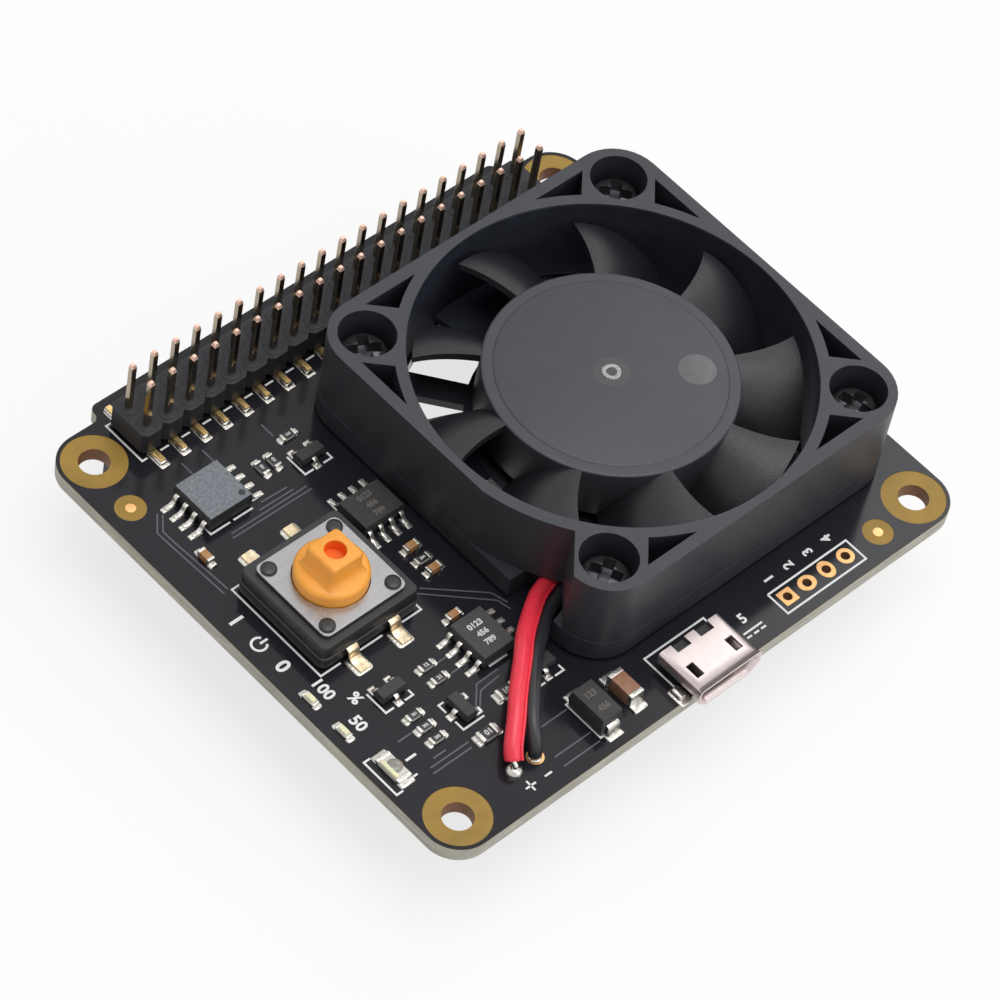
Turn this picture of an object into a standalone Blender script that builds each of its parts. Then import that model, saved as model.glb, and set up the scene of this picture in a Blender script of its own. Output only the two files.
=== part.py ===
"""Fan and power add-on board for a single-board computer.

A 65 x 56 mm circuit board stacks on the computer by the socket on its underside. It carries a
40 mm fan on four screws, a tall push button, a power inlet and the parts of its power switch.

Metres, +Z up. The origin is the middle of the board on the socket's mating plane, X runs along the
pin header and Y runs from the power inlet to the header.
"""
import math

import bmesh
import bpy
from mathutils import Matrix, Vector

# Clearances
SEAT_GAP = 0.0003  # under a large piece that rests on another
SOLDER_GAP = 0.00015  # under a soldered part, and round what is moulded in
RUN_GAP = 0.00015  # round the turning shaft

# Circuit board
BOARD_THICKNESS = 0.0016
BOARD_CORNER = 0.0035
CONTROL_DEPTH = 0.0560  # what the parts beside the fan need from front to back
CHIP_COLUMN = 0.00704  # between the push button and the fan
SWITCH_MARGIN = 0.0040  # from the left edge to the push button
FAN_SIDE_MARGIN = 0.00196  # from the fan to the right edge
FAN_FRONT_MARGIN = 0.0071  # from the front edge to the fan
FAN_TO_HEADER = 0.0054  # from the fan to the middle of the header
HOLE_INSET = 0.0035
HOLE_DIAMETER = 0.0030
RING_DIAMETER = 0.0062  # bare ring round each mounting hole
RING_HEIGHT = 0.00005  # the ring's tin stands this much below the board
BUMP_RISE = 0.00165  # how far the edge steps out behind the header
CUTOUT_STEP = 0.0003  # the board's round window is this much inside the fan's duct
LAYOUT_UNIT = 0.001  # unit of the sizes and places in the layout lists
AUX_HOLE = 0.00095
AUX_HOLES = 4
WIRE_HOLE = 0.0011

# Pin header on top and socket underneath
PIN_PITCH = 0.00254
PIN_COLUMNS = 20
PIN_SIDE = 0.00064
PIN_ABOVE = 0.0060  # how far the pins stand out of the header's block
PIN_TIP = 0.0005
PIN_TIP_SIDE = 0.0003
HEADER_HEIGHT = 0.00245
HEADER_STANDOFF = 0.00065
HEADER_NOTCH = 0.0005  # chamfer between neighbouring cells
FOOT_REACH = 0.0040  # from the header's middle to the end of a foot
FOOT_THICKNESS = 0.00045
SOCKET_HEIGHT = 0.0085
SOCKET_WIDTH = 0.0050
SOCKET_HOLE = 0.0009
SOCKET_HOLE_DEPTH = 0.0068
SOCKET_FOOT_WIDTH = 0.00045
SOCKET_FOOT_THICKNESS = 0.00025

# Fan frame
FAN_SIZE = 0.0400
FAN_DEPTH = 0.0100
FAN_CORNER = 0.0033
DUCT_WALL = 0.0009  # the frame's wall where the duct comes nearest to its side
FAN_HOLE_INSET = 0.0040
FAN_HOLE = 0.0032
HEAD_POCKET = 0.0055
HEAD_SEAT = 0.0060  # floor of the head pocket above the frame's foot
RIM_WALL = 0.00125
POCKET_WALL = 0.00085
FLANGE_HEIGHT = 0.00235
GROOVE_WIDTH = 0.00022
GROOVE_DEPTH = 0.00015
STRUTS = 4
STRUT_ANGLE = 45.0  # degrees to the first strut
STRUT_WIDTH = 0.0026
BASE_DIAMETER = 0.0230
BASE_THICKNESS = 0.0015
BASE_RECESS = 0.0002  # the base and struts stand this much clear of the frame's foot
EXIT_WALL = 0.0012  # the duct's wall beside the wire exit
EXIT_BOSS_WALL = 0.00035  # the boss's flat beside the wire exit
EXIT_WIDTH = 0.0042  # wire exit through the flange
EXIT_REACH = 0.0056
EXIT_FLARE = 0.0017  # the exit is this much wider at the frame's side
EXIT_FROM_FRONT = 0.0069  # from the frame's front to the exit

# Fan motor
HUB_DIAMETER = 0.0242
HUB_TOP = 0.0085
HUB_EDGE = 0.0012  # from the hub's flat top to its side
HUB_RIM_DROP = 0.00035
HUB_WALL = 0.0009
HUB_SKIRT = 0.0026  # bottom edge of the hub
BLADES = 9
BLADE_TIP_GAP = 0.0008
BLADE_THICKNESS = 0.0008
BLADE_TOP = 0.0079
BLADE_BOTTOM = 0.0025
BLADE_TURN = 38.0  # degrees that a blade runs round the hub
BLADE_LEAD = 4.0  # degrees that a blade's tip runs ahead
BLADE_START = 93.5  # degrees to the first leading edge
SHAFT_DIAMETER = 0.0020
SHAFT_FOOT = 0.0019
BEARING_WALL = 0.00045
TUBE_WALL = 0.00075
TUBE_TOP = 0.0064
MOTOR_BOARD_GAP = 0.0009  # inside the hub's skirt
MOTOR_BOARD_THICKNESS = 0.0004
MAGNET_WALL = 0.0016
MAGNET_HEIGHT = 0.0042
STATOR_HEIGHT = 0.0034
STATOR_POLES = 4
STATOR_AIR_GAP = 0.0005
POLE_SHOE = 0.0012
POLE_SPAN = 68.0  # degrees
ARM_WIDTH = 0.0020
COIL_WIDTH = 0.0046
COIL_LENGTH = 0.0024

# Fan screws and nuts
SCREW_DIAMETER = 0.0024
SCREW_HEAD = 0.0048
SCREW_HEAD_HEIGHT = 0.0018
SCREW_END = 0.0006  # thread that stands out of the nut
NUT_FLATS = 0.0050
NUT_HEIGHT = 0.0020

# Push button
SWITCH_SIZE = 0.0120
SWITCH_FROM_HEADER = 0.02455
SWITCH_BODY_HEIGHT = 0.00275
SWITCH_CHAMFER = 0.0008
COVER_SIZE = 0.0101
COVER_CORNER = 0.0007
COVER_THICKNESS = 0.0003
RIVET_INSET = 0.00113  # from the cover's edge to a rivet's middle
RIVET_DIAMETER = 0.0017
RIVET_HEIGHT = 0.00035
RIVET_CROWN = 0.0012  # flat on top of a rivet
WELL_FLOOR = 0.0010
COVER_BORDER = 0.00155  # from the cover's edge to the plunger's disc
PLUNGER_DISC_TOP = 0.0043
FLANGE_STEP = 0.0005
FLANGE_THICKNESS = 0.00065
PLUNGER_GAP = 0.0003
STEM_SIDE = 0.0038
STEM_FOOT = 0.0047
STEM_FLARE = 0.0008
STEM_TOP = 0.0074
STEM_HOLE = 0.00205
STEM_HOLE_DEPTH = 0.0026
DOME_DIAMETER = 0.0066
DOME_RISE = 0.0004
DOME_THICKNESS = 0.00012
NUB_DIAMETER = 0.0024
TERMINAL_SPACING = 0.0050
TERMINAL_WIDTH = 0.0010
TERMINAL_THICKNESS = 0.00025
TERMINAL_ROOT = 0.0014
TERMINAL_FOOT = 0.00125

# Power inlet
INLET_WIDTH = 0.0075
INLET_HEIGHT = 0.0023
INLET_LENGTH = 0.0050
INLET_LIP = 0.00045
INLET_FLARE = 0.00035
INLET_WALL = 0.00028
INLET_OVERHANG = 0.00125  # how far the lip stands over the front edge
INLET_CHAMFER = 0.0008
INLET_ROUND = 0.0004
INLET_SLOT_WIDTH = 0.0009
INLET_SLOT_LENGTH = 0.0016
INLET_SLOT_SPACING = 0.0049
INLET_SLOT_SETBACK = 0.0033  # from the inlet's rear to the slots' middle
INLET_NOTCH_WIDTH = 0.0017
INLET_NOTCH_SPACING = 0.0029
INLET_NOTCH_DEPTH = 0.0010
INLET_TAB = 0.0008
TONGUE_WIDTH = 0.0038
TONGUE_THICKNESS = 0.0006
INSERT_LENGTH = 0.0014

# Moulded chips, transistors and the diode: length, width, top and reach of the leads in layout units
CHIP_PITCH = 0.00127
CHIP_SIDE_LEADS = 4
CHIP_LEAD_WIDTH = 0.00042
LEAD_THICKNESS = 0.0002
MOULD_DRAFT = 0.00012
BODY_STANDOFF = 0.0002
SMALL_CHIP = (4.9, 3.9, 1.6, 3.1)
WIDE_CHIP = (5.3, 5.3, 1.9, 4.0)
TRANSISTOR = (2.9, 1.3, 1.1, 1.2)
TRANSISTOR_PITCH = 0.0019
DIODE = (2.6, 4.3, 2.3, 2.7)
DIODE_LEAD_WIDTH = 0.0014

# Two-ended parts: length, width, height and length of each end cap in layout units
SMALL_RESISTOR = (1.6, 0.8, 0.45, 0.3)
SMALL_CAPACITOR = (1.6, 0.8, 0.8, 0.35)
MEDIUM_RESISTOR = (2.0, 1.25, 0.55, 0.4)
LARGE_CAPACITOR = (3.2, 1.6, 1.6, 0.5)
SMALL_LIGHT = (1.6, 0.8, 0.3, 0.3)
LARGE_LIGHT = (3.2, 1.6, 0.5, 0.5)
END_CAP_STEP = 0.00004
LENS_RISE = 0.0004
LENS_GAP = 0.0001  # between the lens and an end cap

# Fan leads
LEAD_DIAMETER = 0.0013
CORE_DIAMETER = 0.0007
CORE_END = 0.0008  # core below the board
LEAD_SAMPLES = 2  # points from one route point to the next

# Facets
DUCT_SIDES = 48
HUB_SIDES = 36
PLUNGER_SIDES = 24
TUBE_SIDES = 24
SHAFT_SIDES = 20
HOLE_SIDES = 12
SMALL_SIDES = 10
CORNER_STEPS = 3
BASE_STEPS = 6
BLADE_STEPS = 6
BLADE_SPANS = 1
WELD_DISTANCE = 0.000001
DRAWING_SCALE = 1000.0  # flat outlines are filled at this size, since fills merge close points
COPLANAR_STEP = 0.0002  # how far a cutter runs past the face that it cuts

# Places that follow from the sizes
PIN_ROW = PIN_PITCH / 2
HEADER_LENGTH = PIN_COLUMNS * PIN_PITCH
CONTROL_WIDTH = SWITCH_MARGIN + SWITCH_SIZE + CHIP_COLUMN
BOARD_LENGTH = max(
    CONTROL_WIDTH + FAN_SIZE + FAN_SIDE_MARGIN,
    HEADER_LENGTH + 2 * HOLE_INSET + RING_DIAMETER,
)
BOARD_WIDTH = max(CONTROL_DEPTH, FAN_FRONT_MARGIN + FAN_SIZE + FAN_TO_HEADER + HOLE_INSET)
BOARD_LEFT = -BOARD_LENGTH / 2
BOARD_FRONT = -BOARD_WIDTH / 2
BOARD_BOTTOM = SOCKET_HEIGHT + SEAT_GAP
BOARD_TOP = BOARD_BOTTOM + BOARD_THICKNESS
HEADER_Y = BOARD_WIDTH / 2 - HOLE_INSET
FAN_LEFT = BOARD_LEFT + CONTROL_WIDTH
FAN_X = FAN_LEFT + FAN_SIZE / 2
FAN_Y = BOARD_FRONT + FAN_FRONT_MARGIN + FAN_SIZE / 2
FAN_FOOT = BOARD_TOP + SEAT_GAP
SWITCH_X = BOARD_LEFT + SWITCH_MARGIN + SWITCH_SIZE / 2
SWITCH_Y = HEADER_Y - SWITCH_FROM_HEADER
DUCT_DIAMETER = FAN_SIZE - 2 * DUCT_WALL
DUCT_CUTOUT = DUCT_DIAMETER - 2 * CUTOUT_STEP
FAN_HOLE_SPACING = FAN_SIZE - 2 * FAN_HOLE_INSET
BLADE_TIP_RADIUS = DUCT_DIAMETER / 2 - BLADE_TIP_GAP
SHAFT_RADIUS = SHAFT_DIAMETER / 2
BEARING_BORE = SHAFT_RADIUS + RUN_GAP
BEARING_RADIUS = BEARING_BORE + BEARING_WALL
TUBE_RADIUS = BEARING_RADIUS + SOLDER_GAP + TUBE_WALL
MOTOR_BOARD_FOOT = BASE_THICKNESS + SEAT_GAP
STATOR_FOOT = MOTOR_BOARD_FOOT + MOTOR_BOARD_THICKNESS + SEAT_GAP
HUB_ROOF = HUB_TOP - HUB_WALL
HUB_BOSS_FOOT = TUBE_TOP + SEAT_GAP
SHAFT_TOP = HUB_ROOF + HUB_WALL / 3
MAGNET_RADIUS = HUB_DIAMETER / 2 - HUB_WALL - SOLDER_GAP
STATOR_RADIUS = MAGNET_RADIUS - MAGNET_WALL - STATOR_AIR_GAP
MOTOR_BOARD_RADIUS = HUB_DIAMETER / 2 - HUB_WALL - MOTOR_BOARD_GAP
PLUNGER_DISC = COVER_SIZE - 2 * COVER_BORDER
PLUNGER_FLANGE = PLUNGER_DISC + 2 * FLANGE_STEP
RIVET_SPACING = COVER_SIZE - 2 * RIVET_INSET
SWITCH_BODY_TOP = SEAT_GAP + SWITCH_BODY_HEIGHT
COVER_FOOT = SWITCH_BODY_TOP + SOLDER_GAP
COVER_TOP = COVER_FOOT + COVER_THICKNESS
PLUNGER_FLANGE_TOP = COVER_FOOT - SOLDER_GAP
PLUNGER_FLANGE_FOOT = PLUNGER_FLANGE_TOP - FLANGE_THICKNESS
DOME_FOOT = WELL_FLOOR + SOLDER_GAP
NUB_FOOT = DOME_FOOT + DOME_RISE + DOME_THICKNESS + SOLDER_GAP / 2
SWITCH_BODY_SIDE = SWITCH_SIZE - 2 * SOLDER_GAP


def from_left(distance):
    """X of a place measured in layout units from the board's left edge."""
    return BOARD_LEFT + distance * LAYOUT_UNIT


def from_fan(distance):
    """X of a place measured in layout units to the left of the fan."""
    return FAN_LEFT - distance * LAYOUT_UNIT


def from_header(distance):
    """Y of a place measured in layout units in front of the header's middle."""
    return HEADER_Y - distance * LAYOUT_UNIT


def from_front(distance):
    """Y of a place measured in layout units behind the board's front edge."""
    return BOARD_FRONT + distance * LAYOUT_UNIT


def in_metres(size):
    """The values of a size that is written in layout units."""
    return [value * LAYOUT_UNIT for value in size]


INLET_X = from_fan(-8.96)
AUX_X = -BOARD_LEFT - 21.25 * LAYOUT_UNIT
AUX_Y = from_front(2.6)
PLUS_HOLE = (from_left(10.6), from_front(3.9))
MINUS_HOLE = (PLUS_HOLE[0] + PIN_PITCH, PLUS_HOLE[1])

# Layout: name, X, Y and turn in degrees
CHIP_PLACES = (
    ("control_chip", WIDE_CHIP, from_left(9.0), from_header(10.0), 90),
    ("power_chip", SMALL_CHIP, from_fan(3.49), from_header(19.7), 0),
    ("thermostat_chip", SMALL_CHIP, from_fan(5.29), from_header(36.5), 90),
)
TRANSISTOR_PLACES = (
    ("transistor_1", from_fan(3.59), from_header(11.4), 0),
    ("transistor_2", from_left(7.5), from_header(35.7), 0),
    ("transistor_3", from_left(11.3), from_header(40.9), -90),
    ("transistor_4", from_fan(3.04), from_header(41.8), 0),
)
TWO_ENDED_PLACES = (
    ("capacitor_1", SMALL_CAPACITOR, from_left(4.3), from_header(14.55), 90),
    ("capacitor_2", SMALL_CAPACITOR, from_fan(5.44), from_header(33.0), 0),
    ("capacitor_3", SMALL_CAPACITOR, from_fan(3.24), from_header(24.95), 0),
    ("capacitor_4", SMALL_CAPACITOR, from_fan(3.24), from_header(28.0), 0),
    ("inlet_capacitor", LARGE_CAPACITOR, from_fan(-1.16), from_front(4.1), 90),
    ("resistor_1", SMALL_RESISTOR, from_fan(8.0), from_header(9.9), 90),
    ("resistor_2", SMALL_RESISTOR, from_fan(6.59), from_header(9.9), 90),
    ("resistor_3", SMALL_RESISTOR, from_fan(3.54), from_header(8.45), 0),
    ("resistor_4", SMALL_RESISTOR, from_left(12.0), from_header(35.55), 0),
    ("resistor_5", SMALL_RESISTOR, from_left(12.0), from_header(37.25), 0),
    ("resistor_6", SMALL_RESISTOR, from_left(7.5), from_header(38.85), 0),
    ("resistor_7", SMALL_RESISTOR, from_left(7.5), from_header(40.35), 0),
    ("resistor_8", SMALL_RESISTOR, from_left(7.5), from_header(41.9), 0),
    ("resistor_9", SMALL_RESISTOR, from_fan(3.24), from_header(26.5), 0),
    ("resistor_10", MEDIUM_RESISTOR, from_fan(7.24), from_header(42.0), 0),
    ("resistor_11", MEDIUM_RESISTOR, from_left(11.35), from_header(44.3), 0),
)
LIGHT_PLACES = (
    ("fan_light_high", SMALL_LIGHT, from_left(1.5), from_header(31.9), 90),
    ("fan_light_low", SMALL_LIGHT, from_left(1.5), from_header(36.3), 90),
    ("power_light", LARGE_LIGHT, from_left(2.3), from_header(41.9), 90),
)
DIODE_PLACE = (from_fan(2.64), from_front(4.0))

# Lead routes in layout units from the plus hole at the board's top
PLUS_ROUTE = (
    (18.1, 13.6, 1.5),
    (16.1, 12.8, 1.6),
    (13.8, 12.0, 1.9),
    (11.3, 10.5, 2.5),
    (8.9, 8.8, 3.0),
    (7.0, 7.1, 3.3),
    (4.2, 4.7, 3.3),
    (2.25, 2.75, 2.9),
    (0.65, 1.25, 2.1),
    (0.1, 0.5, 1.5),
)
MINUS_ROUTE = (
    (17.8, 11.5, 1.5),
    (15.9, 10.9, 1.6),
    (13.4, 10.05, 1.8),
    (10.75, 8.2, 2.3),
    (8.4, 6.35, 2.8),
    (5.65, 3.85, 3.0),
    (3.85, 1.95, 2.9),
    (2.85, 0.65, 2.4),
    (2.54, 0.1, 1.5),
)


# Outlines

def arc(centre, radius, start, end, steps):
    """Points along an arc between two angles in degrees."""
    angles = [math.radians(start + (end - start) * i / steps) for i in range(steps + 1)]
    return [(centre[0] + radius * math.cos(a), centre[1] + radius * math.sin(a)) for a in angles]


def circle(centre, radius, sides):
    """Points round a circle."""
    return arc(centre, radius, 0, 360 - 360 / sides, sides - 1)


def rounded_rectangle(length, width, radius, steps=CORNER_STEPS):
    """Points round a rectangle with round corners, about the origin."""
    x, y = length / 2 - radius, width / 2 - radius
    corners = ((x, -y, -90), (x, y, 0), (-x, y, 90), (-x, -y, 180))
    return [p for cx, cy, start in corners for p in arc((cx, cy), radius, start, start + 90, steps)]


def strip_outline(path, thickness):
    """Outline of a bent strip of even thickness along a middle line, with mitred bends."""
    points = [Vector(p) for p in path]
    runs = [(b - a).normalized() for a, b in zip(points, points[1:])]
    offsets = []
    for before, after in zip([runs[0]] + runs, runs + [runs[-1]]):
        middle = (before + after).normalized()
        side = Vector((-middle.y, middle.x))
        offsets.append(side * (thickness / 2 / middle.dot(after)))
    upper = [p + o for p, o in zip(points, offsets)]
    lower = [p - o for p, o in zip(points, offsets)]
    return [tuple(p) for p in lower + upper[::-1]]


# Mesh tools

def finished(solid):
    """Turn a bmesh into a mesh with its faces pointing out."""
    bmesh.ops.recalc_face_normals(solid, faces=solid.faces)
    mesh = bpy.data.meshes.new("solid")
    solid.to_mesh(mesh)
    solid.free()
    return mesh


def evaluated(shape, scale):
    """A mesh of an object as its modifiers or its bevel make it, scaled and welded shut."""
    bpy.context.view_layer.update()
    graph = bpy.context.evaluated_depsgraph_get()
    mesh = bpy.data.meshes.new_from_object(shape.evaluated_get(graph))
    mesh.transform(Matrix.Scale(scale, 4))
    solid = bmesh.new()
    solid.from_mesh(mesh)
    bmesh.ops.remove_doubles(solid, verts=solid.verts, dist=WELD_DISTANCE)
    bpy.data.meshes.remove(mesh)
    return finished(solid)


def guide_mesh(data, modifiers=(), scale=1.0):
    """Evaluate curve or mesh data under some modifiers on an object that is then removed."""
    guide = bpy.data.objects.new("guide", data)
    bpy.context.scene.collection.objects.link(guide)
    for kind, values in modifiers:
        modifier = guide.modifiers.new(kind.title(), kind)
        for key, value in values.items():
            setattr(modifier, key, value)
    mesh = evaluated(guide, scale)
    bpy.data.objects.remove(guide)
    return mesh


def outline_mesh(loops, bottom, top):
    """Extrude flat loops from one height to another. Loops inside the first are holes."""
    curve = bpy.data.curves.new("outline", "CURVE")
    curve.dimensions = "2D"
    curve.fill_mode = "BOTH"
    curve.extrude = (top - bottom) / 2 * DRAWING_SCALE
    for loop in loops:
        spline = curve.splines.new("POLY")
        spline.points.add(len(loop) - 1)
        for point, (x, y) in zip(spline.points, loop):
            point.co = (x * DRAWING_SCALE, y * DRAWING_SCALE, 0, 1)
        spline.use_cyclic_u = True
    mesh = guide_mesh(curve, scale=1 / DRAWING_SCALE)
    bpy.data.curves.remove(curve)
    mesh.transform(Matrix.Translation((0, 0, (top + bottom) / 2)))
    return mesh


def box_mesh(low, high):
    """A box between two corners."""
    low, high = Vector(low), Vector(high)
    solid = bmesh.new()
    size = Matrix.Diagonal((*(high - low), 1))
    bmesh.ops.create_cube(solid, size=1, matrix=Matrix.Translation((low + high) / 2) @ size)
    return finished(solid)


def cylinder_mesh(centre, radius, bottom, top, sides, top_radius=None):
    """An upright cylinder, or a cone where the top radius differs."""
    solid = bmesh.new()
    bmesh.ops.create_cone(
        solid,
        cap_ends=True,
        segments=sides,
        radius1=radius,
        radius2=radius if top_radius is None else top_radius,
        depth=top - bottom,
        matrix=Matrix.Translation((*centre, (bottom + top) / 2)),
    )
    return finished(solid)


def turned_mesh(profile, sides):
    """Turn a profile of (radius, height) points about Z, from the top down its outer side."""
    data = bpy.data.meshes.new("profile")
    edges = [(i, i + 1) for i in range(len(profile) - 1)]
    data.from_pydata([(r, 0, z) for r, z in profile], edges, [])
    screw = {
        "angle": 2 * math.pi,
        "steps": sides,
        "render_steps": sides,
        "use_merge_vertices": True,
        "merge_threshold": WELD_DISTANCE,
    }
    return guide_mesh(data, [("SCREW", screw)])


def moulded_mesh(length, width, bottom, top, draft):
    """A moulded block, widest at its parting line and drawn in at its top and bottom."""
    mesh = box_mesh((-length / 2, -width / 2, bottom), (length / 2, width / 2, top))
    solid = bmesh.new()
    solid.from_mesh(mesh)
    middle = (bottom + top) / 2
    everything = solid.verts[:] + solid.edges[:] + solid.faces[:]
    bmesh.ops.bisect_plane(solid, geom=everything, plane_co=(0, 0, middle), plane_no=(0, 0, 1))
    for vert in solid.verts:
        if abs(vert.co.z - middle) > (top - bottom) / 4:
            vert.co.x -= math.copysign(draft, vert.co.x)
            vert.co.y -= math.copysign(draft, vert.co.y)
    return finished(solid)


def lead_mesh(path, thickness, width, x=0.0, turn=0.0):
    """A bent strip that runs out along +Y at the given X, then turned about Z in degrees."""
    mesh = outline_mesh([strip_outline(path, thickness)], -width / 2, width / 2)
    stand = Matrix(((0, 0, 1, x), (1, 0, 0, 0), (0, 1, 0, 0), (0, 0, 0, 1)))
    mesh.transform(Matrix.Rotation(math.radians(turn), 4, "Z") @ stand)
    return mesh


def gather(meshes):
    """One mesh that holds several separate bodies."""
    solid = bmesh.new()
    for mesh in meshes:
        solid.from_mesh(mesh)
    return finished(solid)


def moved(mesh, matrix):
    """A copy of a mesh under a matrix."""
    copy = mesh.copy()
    copy.transform(matrix)
    return copy


def shade(mesh, angle=35):
    """Shade a mesh smooth, with its edges over an angle kept sharp."""
    mesh.shade_smooth()
    mesh.set_sharp_from_angle(angle=math.radians(angle))


# Scene

def clear_scene():
    """Remove every object of the open file."""
    for item in list(bpy.data.objects):
        bpy.data.objects.remove(item, do_unlink=True)


def new_collection(name):
    """A collection under the scene's own."""
    collection = bpy.data.collections.new(name)
    bpy.context.scene.collection.children.link(collection)
    return collection


def finish(name, colour, roughness, metallic=0.0):
    """A Principled material."""
    material = bpy.data.materials.new(name)
    material.use_nodes = True
    shader = material.node_tree.nodes["Principled BSDF"]
    shader.inputs["Base Color"].default_value = (*colour, 1)
    shader.inputs["Roughness"].default_value = roughness
    shader.inputs["Metallic"].default_value = metallic
    return material


clear_scene()
PARTS = new_collection("fan_power_board")
GUIDES = new_collection("cutters")
LACQUER = finish("lacquer", (0.025, 0.025, 0.032), 0.45)
BLACK_PLASTIC = finish("black_plastic", (0.035, 0.035, 0.038), 0.5)
FAN_PLASTIC = finish("fan_plastic", (0.055, 0.055, 0.06), 0.55)
NICKEL = finish("nickel", (0.8, 0.78, 0.77), 0.28, 1.0)
STEEL = finish("steel", (0.6, 0.6, 0.6), 0.35, 1.0)
BLACK_STEEL = finish("black_steel", (0.03, 0.03, 0.032), 0.35, 0.6)
BRASS = finish("brass", (0.7, 0.5, 0.22), 0.35, 1.0)
MAGNET = finish("magnet", (0.06, 0.055, 0.05), 0.7)
COPPER = finish("copper", (0.6, 0.28, 0.14), 0.4, 1.0)
ORANGE_PLASTIC = finish("orange_plastic", (0.95, 0.36, 0.04), 0.45)
GREY_MOULD = finish("grey_mould", (0.2, 0.21, 0.23), 0.6)
BLACK_MOULD = finish("black_mould", (0.05, 0.05, 0.05), 0.6)
CERAMIC = finish("ceramic", (0.38, 0.2, 0.1), 0.5)
RESISTOR_BLACK = finish("resistor_black", (0.03, 0.03, 0.03), 0.4)
CLEAR_LENS = finish("clear_lens", (0.8, 0.75, 0.55), 0.25)
RED_COVER = finish("red_cover", (0.85, 0.03, 0.06), 0.4)
BLACK_COVER = finish("black_cover", (0.025, 0.025, 0.028), 0.4)


def piece(name, mesh, material, place=(0, 0, 0), turn=0.0, parent=None):
    """Add a sub-part at a place, turned about Z in degrees."""
    mesh.name = name
    mesh.materials.clear()
    mesh.materials.append(material)
    shade(mesh)
    part = bpy.data.objects.new(name, mesh)
    PARTS.objects.link(part)
    part.location = place
    part.rotation_euler.z = math.radians(turn)
    if parent is not None:
        part.parent = parent
    return part


def axis_empty(name, place):
    """An empty on the axis of a moving body."""
    empty = bpy.data.objects.new(name, None)
    empty.location = place
    PARTS.objects.link(empty)
    return empty


def combine(part, operation, mesh, solver="EXACT"):
    """Cut or join a mesh in the part's own axes with a live Boolean.

    A body with many corners on one line takes the manifold solver, which leaves no slivers there.
    """
    tool = bpy.data.objects.new(f"{part.name}_{operation.lower()}_{len(part.modifiers)}", mesh)
    GUIDES.objects.link(tool)
    tool.parent = part
    tool.hide_render = True
    tool.display_type = "WIRE"
    modifier = part.modifiers.new(operation.title(), "BOOLEAN")
    modifier.operation = operation
    modifier.solver = solver
    modifier.object = tool


def combined_mesh(base, operation, tool):
    """A mesh cut by or joined with another, for a piece that is repeated."""
    cutter = bpy.data.objects.new("tool", tool)
    bpy.context.scene.collection.objects.link(cutter)
    values = {"operation": operation, "solver": "EXACT", "object": cutter}
    mesh = guide_mesh(base, [("BOOLEAN", values)])
    bpy.data.objects.remove(cutter)
    return mesh


# Circuit board

def mounting_holes():
    """Middles of the four corner holes."""
    x, y = BOARD_LENGTH / 2 - HOLE_INSET, BOARD_WIDTH / 2 - HOLE_INSET
    return [(sx * x, sy * y) for sx in (-1, 1) for sy in (-1, 1)]


def fan_corners():
    """Middles of the four fan screws about the fan's middle."""
    half = FAN_HOLE_SPACING / 2
    return [(sx * half, sy * half) for sx in (-1, 1) for sy in (-1, 1)]


def board_outline():
    """The board's edge: round corners and a straight bump behind the header."""
    x, y = BOARD_LENGTH / 2 - BOARD_CORNER, BOARD_WIDTH / 2 - BOARD_CORNER
    bend = BUMP_RISE / 2
    bump = HEADER_LENGTH / 2
    edge = BOARD_WIDTH / 2
    right = arc((x, -y), BOARD_CORNER, -90, 0, CORNER_STEPS)
    right += arc((x, y), BOARD_CORNER, 0, 90, CORNER_STEPS)
    right += arc((bump + bend, edge + bend), bend, 270, 180, CORNER_STEPS)
    right += arc((bump - bend, edge + bend), bend, 0, 90, CORNER_STEPS)[1:]
    return right + [(-px, py) for px, py in reversed(right)]


def build_board():
    """The circuit board with its holes and, below, a seat ring round each mounting hole."""
    loops = [board_outline(), circle((FAN_X, FAN_Y), DUCT_CUTOUT / 2, DUCT_SIDES)]
    loops += [circle(c, HOLE_DIAMETER / 2, HOLE_SIDES) for c in mounting_holes()]
    for x, y in fan_corners():
        loops.append(circle((FAN_X + x, FAN_Y + y), FAN_HOLE / 2, HOLE_SIDES))
    for i in range(AUX_HOLES):
        loops.append(circle((AUX_X + i * PIN_PITCH, AUX_Y), AUX_HOLE / 2, SMALL_SIDES))
    loops += [circle(c, WIRE_HOLE / 2, SMALL_SIDES) for c in (PLUS_HOLE, MINUS_HOLE)]
    board = piece("board", outline_mesh(loops, BOARD_BOTTOM, BOARD_TOP), LACQUER)
    rings = []
    for centre in mounting_holes():
        inner = HOLE_DIAMETER / 2 + SOLDER_GAP
        ring = [circle(centre, r, HOLE_SIDES) for r in (RING_DIAMETER / 2, inner)]
        rings.append(outline_mesh(ring, BOARD_BOTTOM - RING_HEIGHT, BOARD_BOTTOM + BOARD_THICKNESS / 4))
    combine(board, "UNION", gather(rings), "MANIFOLD")


# Header and socket

def pin_columns():
    """X of each column of pins."""
    return [(i - (PIN_COLUMNS - 1) / 2) * PIN_PITCH for i in range(PIN_COLUMNS)]


def header_outline():
    """The header's block in plan, a chain of cells with chamfered corners."""
    half = PIN_PITCH
    side = []
    for x in pin_columns():
        side += [(x - PIN_PITCH / 2, -half + HEADER_NOTCH), (x - PIN_PITCH / 2 + HEADER_NOTCH, -half)]
        side += [(x + PIN_PITCH / 2 - HEADER_NOTCH, -half)]
    side.append((HEADER_LENGTH / 2, -half + HEADER_NOTCH))
    return side + [(-x, -y) for x, y in side]


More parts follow.
